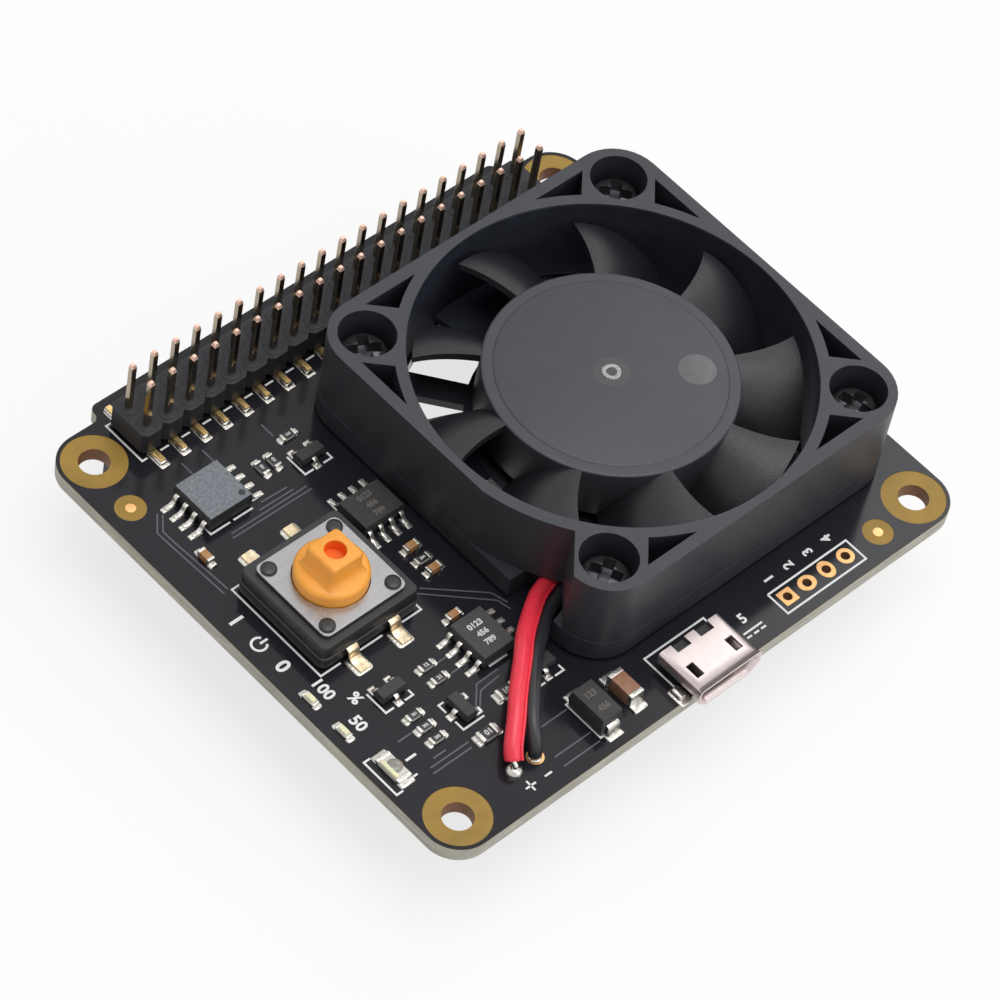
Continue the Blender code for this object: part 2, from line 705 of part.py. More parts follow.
def header_pin(tip):
    """One bent pin: a post with a tapered tip and a foot that runs out along +Y."""
    half = PIN_SIDE / 2
    reach = FOOT_REACH - PIN_ROW
    end = PIN_TIP_SIDE / 2
    foot = SOLDER_GAP + FOOT_THICKNESS
    profile = [(-half, SOLDER_GAP), (reach, SOLDER_GAP), (reach, foot), (half, foot)]
    profile += [(half, tip - PIN_TIP), (end, tip), (-end, tip), (-half, tip - PIN_TIP)]
    mesh = outline_mesh([profile], -half, half)
    mesh.transform(Matrix(((0, 0, 1, 0), (1, 0, 0, 0), (0, 1, 0, 0), (0, 0, 0, 1))))
    for vert in mesh.vertices:
        if vert.co.z > tip - PIN_TIP / 2:
            vert.co.x *= PIN_TIP_SIDE / PIN_SIDE
    return mesh


def build_header():
    """The two-row pin header on the board's top, with its pins moulded in."""
    top = HEADER_STANDOFF + HEADER_HEIGHT
    block = outline_mesh([header_outline()], HEADER_STANDOFF, top)
    header = piece("pin_header", block, BLACK_PLASTIC, (0, HEADER_Y, BOARD_TOP))
    pin = header_pin(top + PIN_ABOVE)
    pins = []
    for x in pin_columns():
        for turn in (0, math.pi):
            place = Matrix.Translation((x, 0, 0)) @ Matrix.Rotation(turn, 4, "Z")
            pins.append(moved(pin, place @ Matrix.Translation((0, PIN_ROW, 0))))
    combine(header, "UNION", gather(pins), "MANIFOLD")


def build_socket():
    """The two-row socket under the board, open downwards, with its solder feet."""
    half = SOCKET_WIDTH / 2
    body = box_mesh((-HEADER_LENGTH / 2, -half, 0), (HEADER_LENGTH / 2, half, SOCKET_HEIGHT))
    socket = piece("stacking_socket", body, BLACK_PLASTIC, (0, HEADER_Y, 0))
    hole = SOCKET_HOLE / 2
    wide = SOCKET_FOOT_WIDTH / 2
    foot_top = BOARD_BOTTOM - SOLDER_GAP
    holes, feet = [], []
    for x in pin_columns():
        for row in (-1, 1):
            y = row * PIN_ROW
            low = (x - hole, y - hole, -COPLANAR_STEP)
            holes.append(box_mesh(low, (x + hole, y + hole, SOCKET_HOLE_DEPTH)))
            ends = sorted((row * (half - POCKET_WALL), row * FOOT_REACH))
            low = (x - wide, ends[0], foot_top - SOCKET_FOOT_THICKNESS)
            feet.append(box_mesh(low, (x + wide, ends[1], foot_top)))
    combine(socket, "DIFFERENCE", gather(holes))
    combine(socket, "UNION", gather(feet))


# Fan

def circle_meeting(apart, first, second):
    """Where two circles meet: along and across from the first middle towards the second."""
    along = (apart**2 + first**2 - second**2) / (2 * apart)
    return along, math.sqrt(first**2 - along**2)


def corner_pocket():
    """The three-sided pocket beside a screw boss, bounded by the wall, the boss and the duct."""
    wall = FAN_SIZE / 2 - RIM_WALL
    boss_middle = Vector((-FAN_HOLE_SPACING / 2, FAN_HOLE_SPACING / 2))
    duct = DUCT_DIAMETER / 2 + POCKET_WALL
    apart = boss_middle.length
    boss = max(HEAD_POCKET / 2, apart - duct) + POCKET_WALL  # wide enough to join the duct's wall
    along, across = circle_meeting(apart, duct, boss)
    out = boss_middle / apart
    inner = out * along + Vector((out.y, -out.x)) * across
    upper = boss_middle + Vector((math.sqrt(boss**2 - (wall - boss_middle.y) ** 2), wall - boss_middle.y))
    far = Vector((-math.sqrt(duct**2 - wall**2), wall))

    def angle(point, middle):
        return math.degrees(math.atan2(point.y - middle.y, point.x - middle.x))

    centre = Vector((0, 0))
    side = arc(boss_middle, boss, angle(upper, boss_middle), angle(inner, boss_middle), CORNER_STEPS)
    return side + arc(centre, duct, angle(inner, centre), angle(far, centre), CORNER_STEPS)[1:]


def exit_channel():
    """The channel through the flange that the leads run out of."""
    side = -FAN_SIZE / 2
    outside, inside = side - COPLANAR_STEP, side + EXIT_REACH
    front, back = side + EXIT_FROM_FRONT, side + EXIT_FROM_FRONT + EXIT_WIDTH
    channel = [(outside, front - EXIT_FLARE), (inside, front), (inside, back), (outside, back)]
    return outline_mesh([channel], -COPLANAR_STEP, FLANGE_HEIGHT + COPLANAR_STEP)


def exit_outline():
    """The open corner above the wire exit, bounded by the duct's wall and by the boss's flat."""
    half = FAN_SIZE / 2
    radius = DUCT_DIAMETER / 2 + EXIT_WALL
    apart = (HEAD_POCKET / 2 + EXIT_BOSS_WALL) * math.sqrt(2)  # from the frame's diagonal to the flat
    meeting = -(apart + math.sqrt(2 * radius**2 - apart**2)) / 2
    start = math.degrees(math.atan2(-math.sqrt(radius**2 - half**2), -half))
    end = math.degrees(math.atan2(meeting + apart, meeting))
    wall = arc((0, 0), radius, start, end, CORNER_STEPS)
    outside = -half - COPLANAR_STEP
    return [(outside, wall[0][1])] + wall + [(outside, outside + apart)]


def frame_cuts():
    """What is cut from the frame: head pockets, corner pockets, and the groove."""
    top = FAN_DEPTH + COPLANAR_STEP
    cuts = [cylinder_mesh(c, HEAD_POCKET / 2, HEAD_SEAT, top, HOLE_SIDES) for c in fan_corners()]
    pocket = corner_pocket()
    for sx in (-1, 1):
        for sy in (-1, 1):
            cuts.append(outline_mesh([[(sx * x, sy * y) for x, y in pocket]], FLANGE_HEIGHT, top))
            if (sx, sy) != (1, -1):
                turned = [(sy * y, sx * x) for x, y in pocket]
                cuts.append(outline_mesh([turned], FLANGE_HEIGHT, top))
    outer = FAN_SIZE + 2 * COPLANAR_STEP
    inner = FAN_SIZE - 2 * GROOVE_DEPTH
    ring = [
        rounded_rectangle(outer, outer, FAN_CORNER),
        rounded_rectangle(inner, inner, FAN_CORNER - GROOVE_DEPTH),
    ]
    cuts.append(outline_mesh(ring, FLANGE_HEIGHT - GROOVE_WIDTH / 2, FLANGE_HEIGHT + GROOVE_WIDTH / 2))
    return cuts


def spider_outline():
    """The motor's base plate and the struts that reach the duct wall, in plan."""
    radius = BASE_DIAMETER / 2
    half = STRUT_WIDTH / 2
    reach = DUCT_DIAMETER / 2 + POCKET_WALL / 2
    share = math.degrees(math.asin(half / radius))
    points = []
    for i in range(STRUTS):
        middle = STRUT_ANGLE + 360 / STRUTS * i
        turn = Matrix.Rotation(math.radians(middle), 2)
        points += [tuple(turn @ Vector((reach, y))) for y in (-half, half)]
        points += arc((0, 0), radius, middle + share, middle + 360 / STRUTS - share, BASE_STEPS)
    return points


def build_fan_frame():
    """The fan's moulded frame with its duct, corner bosses, struts and bearing tube."""
    loops = [rounded_rectangle(FAN_SIZE, FAN_SIZE, FAN_CORNER)]
    loops.append(circle((0, 0), DUCT_DIAMETER / 2, DUCT_SIDES))
    loops += [circle(c, FAN_HOLE / 2, HOLE_SIDES) for c in fan_corners()]
    shell = outline_mesh(loops, 0, FAN_DEPTH)
    frame = piece("fan_frame", shell, FAN_PLASTIC, (FAN_X, FAN_Y, FAN_FOOT))
    combine(frame, "DIFFERENCE", gather(frame_cuts()))
    combine(frame, "DIFFERENCE", outline_mesh([exit_outline()], FLANGE_HEIGHT, FAN_DEPTH + COPLANAR_STEP))
    combine(frame, "DIFFERENCE", exit_channel())
    combine(frame, "UNION", outline_mesh([spider_outline()], BASE_RECESS, BASE_THICKNESS), "MANIFOLD")
    tube = [circle((0, 0), r, TUBE_SIDES) for r in (TUBE_RADIUS, TUBE_RADIUS - TUBE_WALL)]
    combine(frame, "UNION", outline_mesh(tube, BASE_THICKNESS / 2, TUBE_TOP), "MANIFOLD")


def hub_mesh():
    """The hub: a cup that is open below, with a boss for the shaft."""
    radius = HUB_DIAMETER / 2
    inside = radius - HUB_WALL
    bore = SHAFT_RADIUS + SOLDER_GAP
    boss = bore + HUB_WALL
    flat = radius - HUB_EDGE
    step = HUB_TOP - HUB_RIM_DROP / 2
    profile = [(0, HUB_TOP), (flat, HUB_TOP), (flat + HUB_RIM_DROP, step)]
    profile += [(radius - HUB_RIM_DROP, step), (radius, HUB_TOP - 2 * HUB_RIM_DROP)]
    profile += [(radius, HUB_SKIRT), (inside, HUB_SKIRT), (inside, HUB_ROOF), (boss, HUB_ROOF)]
    profile += [(boss, HUB_BOSS_FOOT), (bore, HUB_BOSS_FOOT), (bore, SHAFT_TOP + SOLDER_GAP)]
    profile.append((0, SHAFT_TOP + SOLDER_GAP))
    return turned_mesh(profile, HUB_SIDES)


def blade_mesh():
    """One blade: a radial line swept round the axis and down, then thickened."""
    root = HUB_DIAMETER / 2 - HUB_WALL / 2
    tip = BLADE_TIP_RADIUS
    line = []
    for i in range(BLADE_SPANS + 1):
        share = i / BLADE_SPANS
        radius = root + (tip - root) * share
        lead = math.radians(BLADE_LEAD * share)
        line.append((radius * math.cos(lead), radius * math.sin(lead), BLADE_TOP))
    data = bpy.data.meshes.new("leading_edge")
    data.from_pydata(line, [(i, i + 1) for i in range(BLADE_SPANS)], [])
    sweep = {
        "angle": -math.radians(BLADE_TURN),
        "screw_offset": BLADE_BOTTOM - BLADE_TOP,
        "steps": BLADE_STEPS,
        "render_steps": BLADE_STEPS,
        "use_merge_vertices": False,
    }
    thicken = {"thickness": BLADE_THICKNESS, "offset": 0.0}
    return guide_mesh(data, [("SCREW", sweep), ("SOLIDIFY", thicken)])


def build_rotor(axis):
    """The fan's rotor: hub and blades in one moulding, with its magnet ring and shaft."""
    rotor = piece("fan_rotor", hub_mesh(), FAN_PLASTIC, parent=axis)
    blade = blade_mesh()
    blades = []
    for i in range(BLADES):
        turn = math.radians(BLADE_START - 360 / BLADES * i)
        blades.append(moved(blade, Matrix.Rotation(turn, 4, "Z")))
    combine(rotor, "UNION", gather(blades))
    ring = [circle((0, 0), r, HUB_SIDES) for r in (MAGNET_RADIUS, MAGNET_RADIUS - MAGNET_WALL)]
    magnet_top = HUB_ROOF - SEAT_GAP
    magnet = outline_mesh(ring, magnet_top - MAGNET_HEIGHT, magnet_top)
    piece("magnet_ring", magnet, MAGNET, parent=axis)
    shaft = cylinder_mesh((0, 0), SHAFT_RADIUS, SHAFT_FOOT, SHAFT_TOP, SHAFT_SIDES)
    piece("rotor_shaft", shaft, STEEL, parent=axis)


def stator_outline():
    """The stator's core in plan: a ring with arms that end in curved pole shoes."""
    ring = TUBE_RADIUS + SEAT_GAP + HUB_WALL
    half = ARM_WIDTH / 2
    shoe = STATOR_RADIUS - POLE_SHOE
    ring_share = math.degrees(math.asin(half / ring))
    shoe_share = math.degrees(math.asin(half / shoe))
    points = []
    for i in range(STATOR_POLES):
        middle = 360 / STATOR_POLES * i
        points += arc((0, 0), shoe, middle - shoe_share, middle - POLE_SPAN / 2, 2)
        points += arc((0, 0), STATOR_RADIUS, middle - POLE_SPAN / 2, middle + POLE_SPAN / 2, CORNER_STEPS * 2)
        points += arc((0, 0), shoe, middle + POLE_SPAN / 2, middle + shoe_share, 2)
        next_middle = middle + 360 / STATOR_POLES
        points += arc((0, 0), ring, middle + ring_share, next_middle - ring_share, CORNER_STEPS)
    return points


def build_motor():
    """The fixed half of the motor: bearing, drive board and wound stator."""
    foot = (FAN_X, FAN_Y, FAN_FOOT)
    sleeve = [circle((0, 0), r, TUBE_SIDES) for r in (BEARING_RADIUS, BEARING_BORE)]
    piece("shaft_bearing", outline_mesh(sleeve, SHAFT_FOOT, TUBE_TOP - SOLDER_GAP), BRASS, foot)
    hole = circle((0, 0), TUBE_RADIUS + SEAT_GAP, TUBE_SIDES)
    disc = [circle((0, 0), MOTOR_BOARD_RADIUS, HUB_SIDES), hole]
    top = MOTOR_BOARD_FOOT + MOTOR_BOARD_THICKNESS
    piece("motor_board", outline_mesh(disc, MOTOR_BOARD_FOOT, top), LACQUER, foot)
    core = outline_mesh([stator_outline(), hole], STATOR_FOOT, STATOR_FOOT + STATOR_HEIGHT)
    stator = piece("wound_stator", core, COPPER, foot)
    ring = TUBE_RADIUS + SEAT_GAP + HUB_WALL
    start = (ring + STATOR_RADIUS - POLE_SHOE - COIL_LENGTH) / 2
    half = COIL_WIDTH / 2
    low, high = (start, -half, STATOR_FOOT), (start + COIL_LENGTH, half, STATOR_FOOT + STATOR_HEIGHT)
    rise = Vector((0, 0, SOLDER_GAP))
    coil = box_mesh(Vector(low) - rise, Vector(high) + rise)
    turns = [math.radians(360 / STATOR_POLES * i) for i in range(STATOR_POLES)]
    combine(stator, "UNION", gather([moved(coil, Matrix.Rotation(t, 4, "Z")) for t in turns]))


def build_fan_fixings():
    """A screw in each corner of the fan and a nut under the board."""
    seat = FAN_FOOT + HEAD_SEAT + SOLDER_GAP
    nut_top = BOARD_BOTTOM - SOLDER_GAP
    length = seat - nut_top + NUT_HEIGHT + SCREW_END
    head, shank = SCREW_HEAD / 2, SCREW_DIAMETER / 2
    crown = arc((head - SCREW_HEAD_HEIGHT, 0), SCREW_HEAD_HEIGHT, 90, 0, CORNER_STEPS)
    profile = [(0, SCREW_HEAD_HEIGHT)] + crown + [(shank, 0)]
    profile += [(shank, SCREW_END / 2 - length), (shank - SCREW_END / 2, -length), (0, -length)]
    screw = turned_mesh(profile, HOLE_SIDES)
    hexagon = circle((0, 0), NUT_FLATS / math.sqrt(3), 6)
    bore = circle((0, 0), shank + SOLDER_GAP, HOLE_SIDES)
    nut = outline_mesh([hexagon, bore], -NUT_HEIGHT, 0)
    for i, (x, y) in enumerate(fan_corners(), 1):
        piece(f"fan_screw_{i}", screw, BLACK_STEEL, (FAN_X + x, FAN_Y + y, seat))
        piece(f"fan_nut_{i}", nut, STEEL, (FAN_X + x, FAN_Y + y, nut_top))


# Push button

def rivets(radius, bottom, top, top_radius):
    """The four rivet posts, or the holes that they pass."""
    half = RIVET_SPACING / 2
    places = [(sx * half, sy * half) for sx in (-1, 1) for sy in (-1, 1)]
    return [cylinder_mesh(p, radius, bottom, top, SMALL_SIDES, top_radius) for p in places]


def chamfered_square(side, chamfer):
    """A square with its corners cut off."""
    half, cut = side / 2, side / 2 - chamfer
    quarter = [(half, -cut), (half, cut)]
    return [(x * c - y * s, x * s + y * c) for c, s in ((1, 0), (0, 1), (-1, 0), (0, -1)) for x, y in quarter]


def build_switch_body(place):
    """The button's black housing with its well and its rivet posts."""
    block = outline_mesh([chamfered_square(SWITCH_BODY_SIDE, SWITCH_CHAMFER)], SEAT_GAP, SWITCH_BODY_TOP)
    body = piece("switch_body", block, BLACK_PLASTIC, place)
    well = PLUNGER_FLANGE / 2 + PLUNGER_GAP
    combine(body, "DIFFERENCE", cylinder_mesh((0, 0), well, WELL_FLOOR, COVER_TOP, PLUNGER_SIDES))
    post = RIVET_DIAMETER / 2
    top = COVER_TOP + RIVET_HEIGHT
    root = (WELL_FLOOR + SWITCH_BODY_TOP) / 2
    combine(body, "UNION", gather(rivets(post, root, top - RIVET_HEIGHT / 2, post)))
    combine(body, "UNION", gather(rivets(post, top - RIVET_HEIGHT / 2, top, RIVET_CROWN / 2)))


def build_switch_cover(place):
    """The metal cover plate with the plunger's hole and the rivet holes."""
    loops = [rounded_rectangle(COVER_SIZE, COVER_SIZE, COVER_CORNER)]
    loops.append(circle((0, 0), PLUNGER_DISC / 2 + PLUNGER_GAP, PLUNGER_SIDES))
    half = RIVET_SPACING / 2
    for sx in (-1, 1):
        for sy in (-1, 1):
            loops.append(circle((sx * half, sy * half), RIVET_DIAMETER / 2 + SOLDER_GAP, SMALL_SIDES))
    piece("switch_cover", outline_mesh(loops, COVER_FOOT, COVER_TOP), NICKEL, place)


def build_plunger(axis):
    """The orange plunger: flange and disc, a flared square stem with a hole, and a nub below."""
    disc, flange, nub = PLUNGER_DISC / 2, PLUNGER_FLANGE / 2, NUB_DIAMETER / 2
    edge = SOLDER_GAP
    profile = [(0, PLUNGER_DISC_TOP), (disc - edge, PLUNGER_DISC_TOP), (disc, PLUNGER_DISC_TOP - edge)]
    profile += [(disc, PLUNGER_FLANGE_TOP), (flange, PLUNGER_FLANGE_TOP), (flange, PLUNGER_FLANGE_FOOT)]
    profile += [(nub, PLUNGER_FLANGE_FOOT), (nub, NUB_FOOT), (0, NUB_FOOT)]
    plunger = piece("switch_plunger", turned_mesh(profile, PLUNGER_SIDES), ORANGE_PLASTIC, parent=axis)
    corner = math.sqrt(0.5)
    stem = [(0, STEM_TOP), (STEM_SIDE * corner, STEM_TOP)]
    stem += [(STEM_SIDE * corner, PLUNGER_DISC_TOP + STEM_FLARE), (STEM_FOOT * corner, PLUNGER_DISC_TOP)]
    stem += [(STEM_FOOT * corner, PLUNGER_DISC_TOP - STEM_FLARE / 2), (0, PLUNGER_DISC_TOP - STEM_FLARE / 2)]
    square = turned_mesh(stem, 4)
    square.transform(Matrix.Rotation(math.radians(45), 4, "Z"))
    combine(plunger, "UNION", square)
    bottom = STEM_TOP - STEM_HOLE_DEPTH
    hole = cylinder_mesh((0, 0), STEM_HOLE / 2, bottom, STEM_TOP + COPLANAR_STEP, HOLE_SIDES)
    combine(plunger, "DIFFERENCE", hole)


def build_dome(place):
    """The snap dome under the plunger, a thin cap of a sphere."""
    radius = DOME_DIAMETER / 2
    steps = range(CORNER_STEPS + 1)
    shares = [i / CORNER_STEPS for i in steps]
    upper = [(radius * s, DOME_FOOT + DOME_THICKNESS + DOME_RISE * (1 - s * s)) for s in shares]
    lower = [(r, z - DOME_THICKNESS) for r, z in reversed(upper)]
    piece("switch_dome", turned_mesh(upper + lower, HOLE_SIDES), STEEL, place)


def build_switch():
    """The push button with its four soldered terminals."""
    place = (SWITCH_X, SWITCH_Y, BOARD_TOP)
    build_switch_body(place)
    build_switch_cover(place)
    build_plunger(axis_empty("plunger_axis", place))
    build_dome(place)
    root = SWITCH_BODY_SIDE / 2 + SOLDER_GAP
    foot = SOLDER_GAP + TERMINAL_THICKNESS / 2
    knee = root + TERMINAL_THICKNESS * 2
    path = [(root, TERMINAL_ROOT), (knee, TERMINAL_ROOT), (knee + TERMINAL_THICKNESS, foot)]
    path.append((knee + TERMINAL_THICKNESS + TERMINAL_FOOT, foot))
    number = 0
    for x in (-TERMINAL_SPACING / 2, TERMINAL_SPACING / 2):
        for turn in (0, 180):
            number += 1
            side = x if turn == 0 else -x
            mesh = lead_mesh(path, TERMINAL_THICKNESS, TERMINAL_WIDTH, side, turn)
            piece(f"switch_terminal_{number}", mesh, NICKEL, place)


# Power inlet

def inlet_profile():
    """Middle of the inlet's wall in (x, z), with round upper and slanted lower corners."""
    half = (INLET_WIDTH - INLET_WALL) / 2
    low = SOLDER_GAP + INLET_WALL / 2
    high = SOLDER_GAP + INLET_HEIGHT - INLET_WALL / 2
    slant = [(-half, low + INLET_CHAMFER), (-half + INLET_CHAMFER, low), (half - INLET_CHAMFER, low)]
    slant.append((half, low + INLET_CHAMFER))
    right = arc((half - INLET_ROUND, high - INLET_ROUND), INLET_ROUND, 0, 90, 2)
    return slant + right + [(-x, z) for x, z in reversed(right)]


def inlet_shell_mesh():
    """The bent sheet shell: an open sleeve with a flared lip, given its wall."""
    outline = inlet_profile()
    solid = bmesh.new()
    ring = [solid.verts.new((x, 0, z)) for x, z in outline]
    for a, b in zip(ring, ring[1:] + ring[:1]):
        solid.edges.new((a, b))
    middle = SOLDER_GAP + INLET_HEIGHT / 2
    stretch = {"x": 1 + 2 * INLET_FLARE / INLET_WIDTH, "z": 1 + 2 * INLET_FLARE / INLET_HEIGHT}
    edges = solid.edges[:]
    for step, flared in ((INLET_LENGTH, False), (INLET_LIP, True)):
        grown = bmesh.ops.extrude_edge_only(solid, edges=edges)["geom"]
        edges = [g for g in grown if isinstance(g, bmesh.types.BMEdge)]
        edges = [e for e in edges if all(v in grown for v in e.verts)]
        for vert in [g for g in grown if isinstance(g, bmesh.types.BMVert)]:
            vert.co.y -= step
            if flared:
                vert.co.x *= stretch["x"]
                vert.co.z = middle + (vert.co.z - middle) * stretch["z"]
    sleeve = finished(solid)
    return guide_mesh(sleeve, [("SOLIDIFY", {"thickness": INLET_WALL, "offset": 0.0})])


def build_inlet():
    """The power inlet: its metal shell and the insert with the contact tongue."""
    rear = BOARD_FRONT - INLET_OVERHANG + INLET_LENGTH + INLET_LIP
    place = (INLET_X, rear, BOARD_TOP)
    shell = piece("inlet_shell", inlet_shell_mesh(), NICKEL, place)
    top = SOLDER_GAP + INLET_HEIGHT
    slot_y = -INLET_SLOT_SETBACK
    slots, tabs = [], []
    for side in (-1, 1):
        x = side * INLET_SLOT_SPACING / 2
        low = (x - INLET_SLOT_WIDTH / 2, slot_y - INLET_SLOT_LENGTH / 2, top - 2 * INLET_WALL)
        high = (x + INLET_SLOT_WIDTH / 2, slot_y + INLET_SLOT_LENGTH / 2, top + COPLANAR_STEP)
        slots.append(box_mesh(low, high))
        x = side * INLET_NOTCH_SPACING / 2
        low = (x - INLET_NOTCH_WIDTH / 2, -INLET_NOTCH_DEPTH, top - 2 * INLET_WALL)
        high = (x + INLET_NOTCH_WIDTH / 2, COPLANAR_STEP, top + COPLANAR_STEP)
        slots.append(box_mesh(low, high))
        ends = sorted((side * (INLET_WIDTH - INLET_WALL) / 2, side * (INLET_WIDTH / 2 + INLET_TAB)))
        foot = SOLDER_GAP + INLET_CHAMFER
        low = (ends[0], slot_y - INLET_TAB, foot)
        tabs.append(box_mesh(low, (ends[1], slot_y + INLET_TAB, foot + INLET_WALL)))
    combine(shell, "DIFFERENCE", gather(slots))
    combine(shell, "UNION", gather(tabs))
    inside = INLET_WIDTH / 2 - INLET_WALL - INLET_CHAMFER
    floor = SOLDER_GAP + INLET_WALL + SOLDER_GAP
    roof = top - INLET_WALL - SOLDER_GAP
    block = box_mesh((-inside, -INSERT_LENGTH, floor), (inside, 0, roof))
    insert = piece("inlet_insert", block, BLACK_PLASTIC, place)
    half = TONGUE_WIDTH / 2
    low = (-half, -INLET_LENGTH, (floor + roof) / 2)
    high = (half, -INSERT_LENGTH / 2, (floor + roof) / 2 + TONGUE_THICKNESS)
    combine(insert, "UNION", box_mesh(low, high))


# Soldered parts

def gull_wing(root, knee_height, reach):
    """Middle line of a lead that runs out of a body, down and out along the board."""
    foot = SOLDER_GAP + LEAD_THICKNESS / 2
    fall = knee_height - foot
    knee = root + LEAD_THICKNESS
    return [(root - LEAD_THICKNESS, knee_height), (knee, knee_height), (knee + fall / 3, foot), (reach, foot)]


def leaded_mesh(size, spots, lead_width):
    """A moulded body with gull-wing leads at (x, turn) spots, in one closed solid."""
    length, width, top, reach = in_metres(size)
    bottom = SOLDER_GAP + BODY_STANDOFF
    body = moulded_mesh(length, width, bottom, top, MOULD_DRAFT)
    path = gull_wing(width / 2, (bottom + top) / 2, reach)
    leads = []
    for x, turn in spots:
        leads.append(lead_mesh(path, LEAD_THICKNESS, lead_width, x if turn == 0 else -x, turn))
    return combined_mesh(body, "UNION", gather(leads))


def build_chips():
    """The three eight-lead chips."""
    columns = [(i - (CHIP_SIDE_LEADS - 1) / 2) * CHIP_PITCH for i in range(CHIP_SIDE_LEADS)]
    spots = [(x, turn) for x in columns for turn in (0, 180)]
    for name, size, x, y, turn in CHIP_PLACES:
        material = GREY_MOULD if size is WIDE_CHIP else BLACK_MOULD
        mesh = leaded_mesh(size, spots, CHIP_LEAD_WIDTH)
        piece(name, mesh, material, (x, y, BOARD_TOP), turn)


def build_transistors():
    """The three-lead transistors, two leads behind and one in front."""
    half = TRANSISTOR_PITCH / 2
    mesh = leaded_mesh(TRANSISTOR, [(-half, 0), (half, 0), (0.0, 180)], CHIP_LEAD_WIDTH)
    for name, x, y, turn in TRANSISTOR_PLACES:
        piece(name, mesh, BLACK_MOULD, (x, y, BOARD_TOP), turn)


def build_diode():
    """The inlet's diode, with a flat lead folded down at each end."""
    length, width, top, reach = in_metres(DIODE)
    bottom = SOLDER_GAP + BODY_STANDOFF
    body = moulded_mesh(length, width, bottom, top, MOULD_DRAFT)
    middle = (bottom + top) / 2
    foot = SOLDER_GAP + LEAD_THICKNESS / 2
    outside = width / 2 + 2 * LEAD_THICKNESS
    path = [(width / 2 - LEAD_THICKNESS, middle), (outside, middle), (outside, foot), (reach, foot)]
    leads = [lead_mesh(path, LEAD_THICKNESS, DIODE_LEAD_WIDTH, 0.0, turn) for turn in (0, 180)]
    mesh = combined_mesh(body, "UNION", gather(leads))
    piece("inlet_diode", mesh, BLACK_MOULD, (*DIODE_PLACE, BOARD_TOP))


def capped_mesh(size):
    """A two-ended part: a block between two slightly larger end caps."""
    length, width, height, cap = in_metres(size)
    bottom = SOLDER_GAP + END_CAP_STEP
    half, side = length / 2, width / 2
    block = box_mesh((-half + cap / 2, -side, bottom), (half - cap / 2, side, bottom + height))
    low, high = bottom - END_CAP_STEP, bottom + height + END_CAP_STEP
    wide = side + END_CAP_STEP
    caps = [box_mesh((s, -wide, low), (s + cap, wide, high)) for s in (-half, half - cap)]
    return combined_mesh(block, "UNION", gather(caps))


def build_two_ended_parts():
    """The resistors and capacitors, where parts of one size share a mesh."""
    shapes = {}
    for name, size, x, y, turn in TWO_ENDED_PLACES:
        kind = name.rsplit("_", 1)[0]
        key = (kind, size)
        if key not in shapes:
            shapes[key] = capped_mesh(size)
        material = RESISTOR_BLACK if kind == "resistor" else CERAMIC
        piece(name, shapes[key], material, (x, y, BOARD_TOP), turn)


def build_lights():
    """The indicator lights: a carrier with end caps under a clear lens."""
    for name, size, x, y, turn in LIGHT_PLACES:
        length, width, height, cap = in_metres(size)
        base = capped_mesh(size)
        inner = length / 2 - cap - LENS_GAP
        side = width / 2 - END_CAP_STEP
        foot = SOLDER_GAP + height / 2
        top = SOLDER_GAP + height + LENS_RISE
        lens = box_mesh((-inner, -side, foot), (inner, side, top))
        piece(name, combined_mesh(base, "UNION", lens), CLEAR_LENS, (x, y, BOARD_TOP), turn)


# Fan leads

def smooth_route(points):
    """Points along a smooth curve through the route's own points."""
    ends = [points[0] * 2 - points[1]] + points + [points[-1] * 2 - points[-2]]
    route = []
    for a, b, c, d in zip(ends, ends[1:], ends[2:], ends[3:]):
        for i in range(LEAD_SAMPLES):
            t = i / LEAD_SAMPLES
            bend = (2 * a - 5 * b + 4 * c - d) * t * t + (3 * b - a - 3 * c + d) * t**3
            route.append((2 * b + (c - a) * t + bend) / 2)
    return route + [points[-1]]


def build_lead(name, route, hole, material):
    """One fan lead: its insulation from the fan's wire exit and its core in the solder hole."""
    corner = Vector((*PLUS_HOLE, BOARD_TOP))
    points = smooth_route([corner + Vector(p) * LAYOUT_UNIT for p in route])
    curve = bpy.data.curves.new(name, "CURVE")
    curve.dimensions = "3D"
    curve.bevel_depth = LEAD_DIAMETER / 2
    curve.bevel_resolution = 2
    curve.use_fill_caps = True
    spline = curve.splines.new("POLY")
    spline.points.add(len(points) - 1)
    for target, point in zip(spline.points, points):
        target.co = (*point, 1)
    mesh = guide_mesh(curve)
    lead = piece(name, mesh, material)
    core_top = points[-1].z + LEAD_DIAMETER / 3
    core = cylinder_mesh(hole, CORE_DIAMETER / 2, BOARD_BOTTOM - CORE_END, core_top, SMALL_SIDES)
    combine(lead, "UNION", core)


def main():
    """Build every piece."""
    build_board()
    build_header()
    build_socket()
    build_fan_frame()
    build_rotor(axis_empty("fan_axis", (FAN_X, FAN_Y, FAN_FOOT)))
    build_motor()
    build_fan_fixings()
    build_switch()
    build_inlet()
    build_chips()
    build_transistors()
    build_diode()
    build_two_ended_parts()
    build_lights()
    build_lead("plus_lead", PLUS_ROUTE, PLUS_HOLE, RED_COVER)
    build_lead("minus_lead", MINUS_ROUTE, MINUS_HOLE, BLACK_COVER)


main()
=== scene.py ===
"""Looks of a fan and power add-on board for a single-board computer.

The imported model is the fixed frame. Each sub-assembly is a class that reads its place from the frame,
works out its surfaces with numpy and dresses them in procedural finishes. Sizes are in millimetres.
"""
import logging
import math
from dataclasses import dataclass, field
from enum import Enum
from typing import Sequence

import bmesh
import bpy
import numpy as np
from mathutils import Matrix, Vector


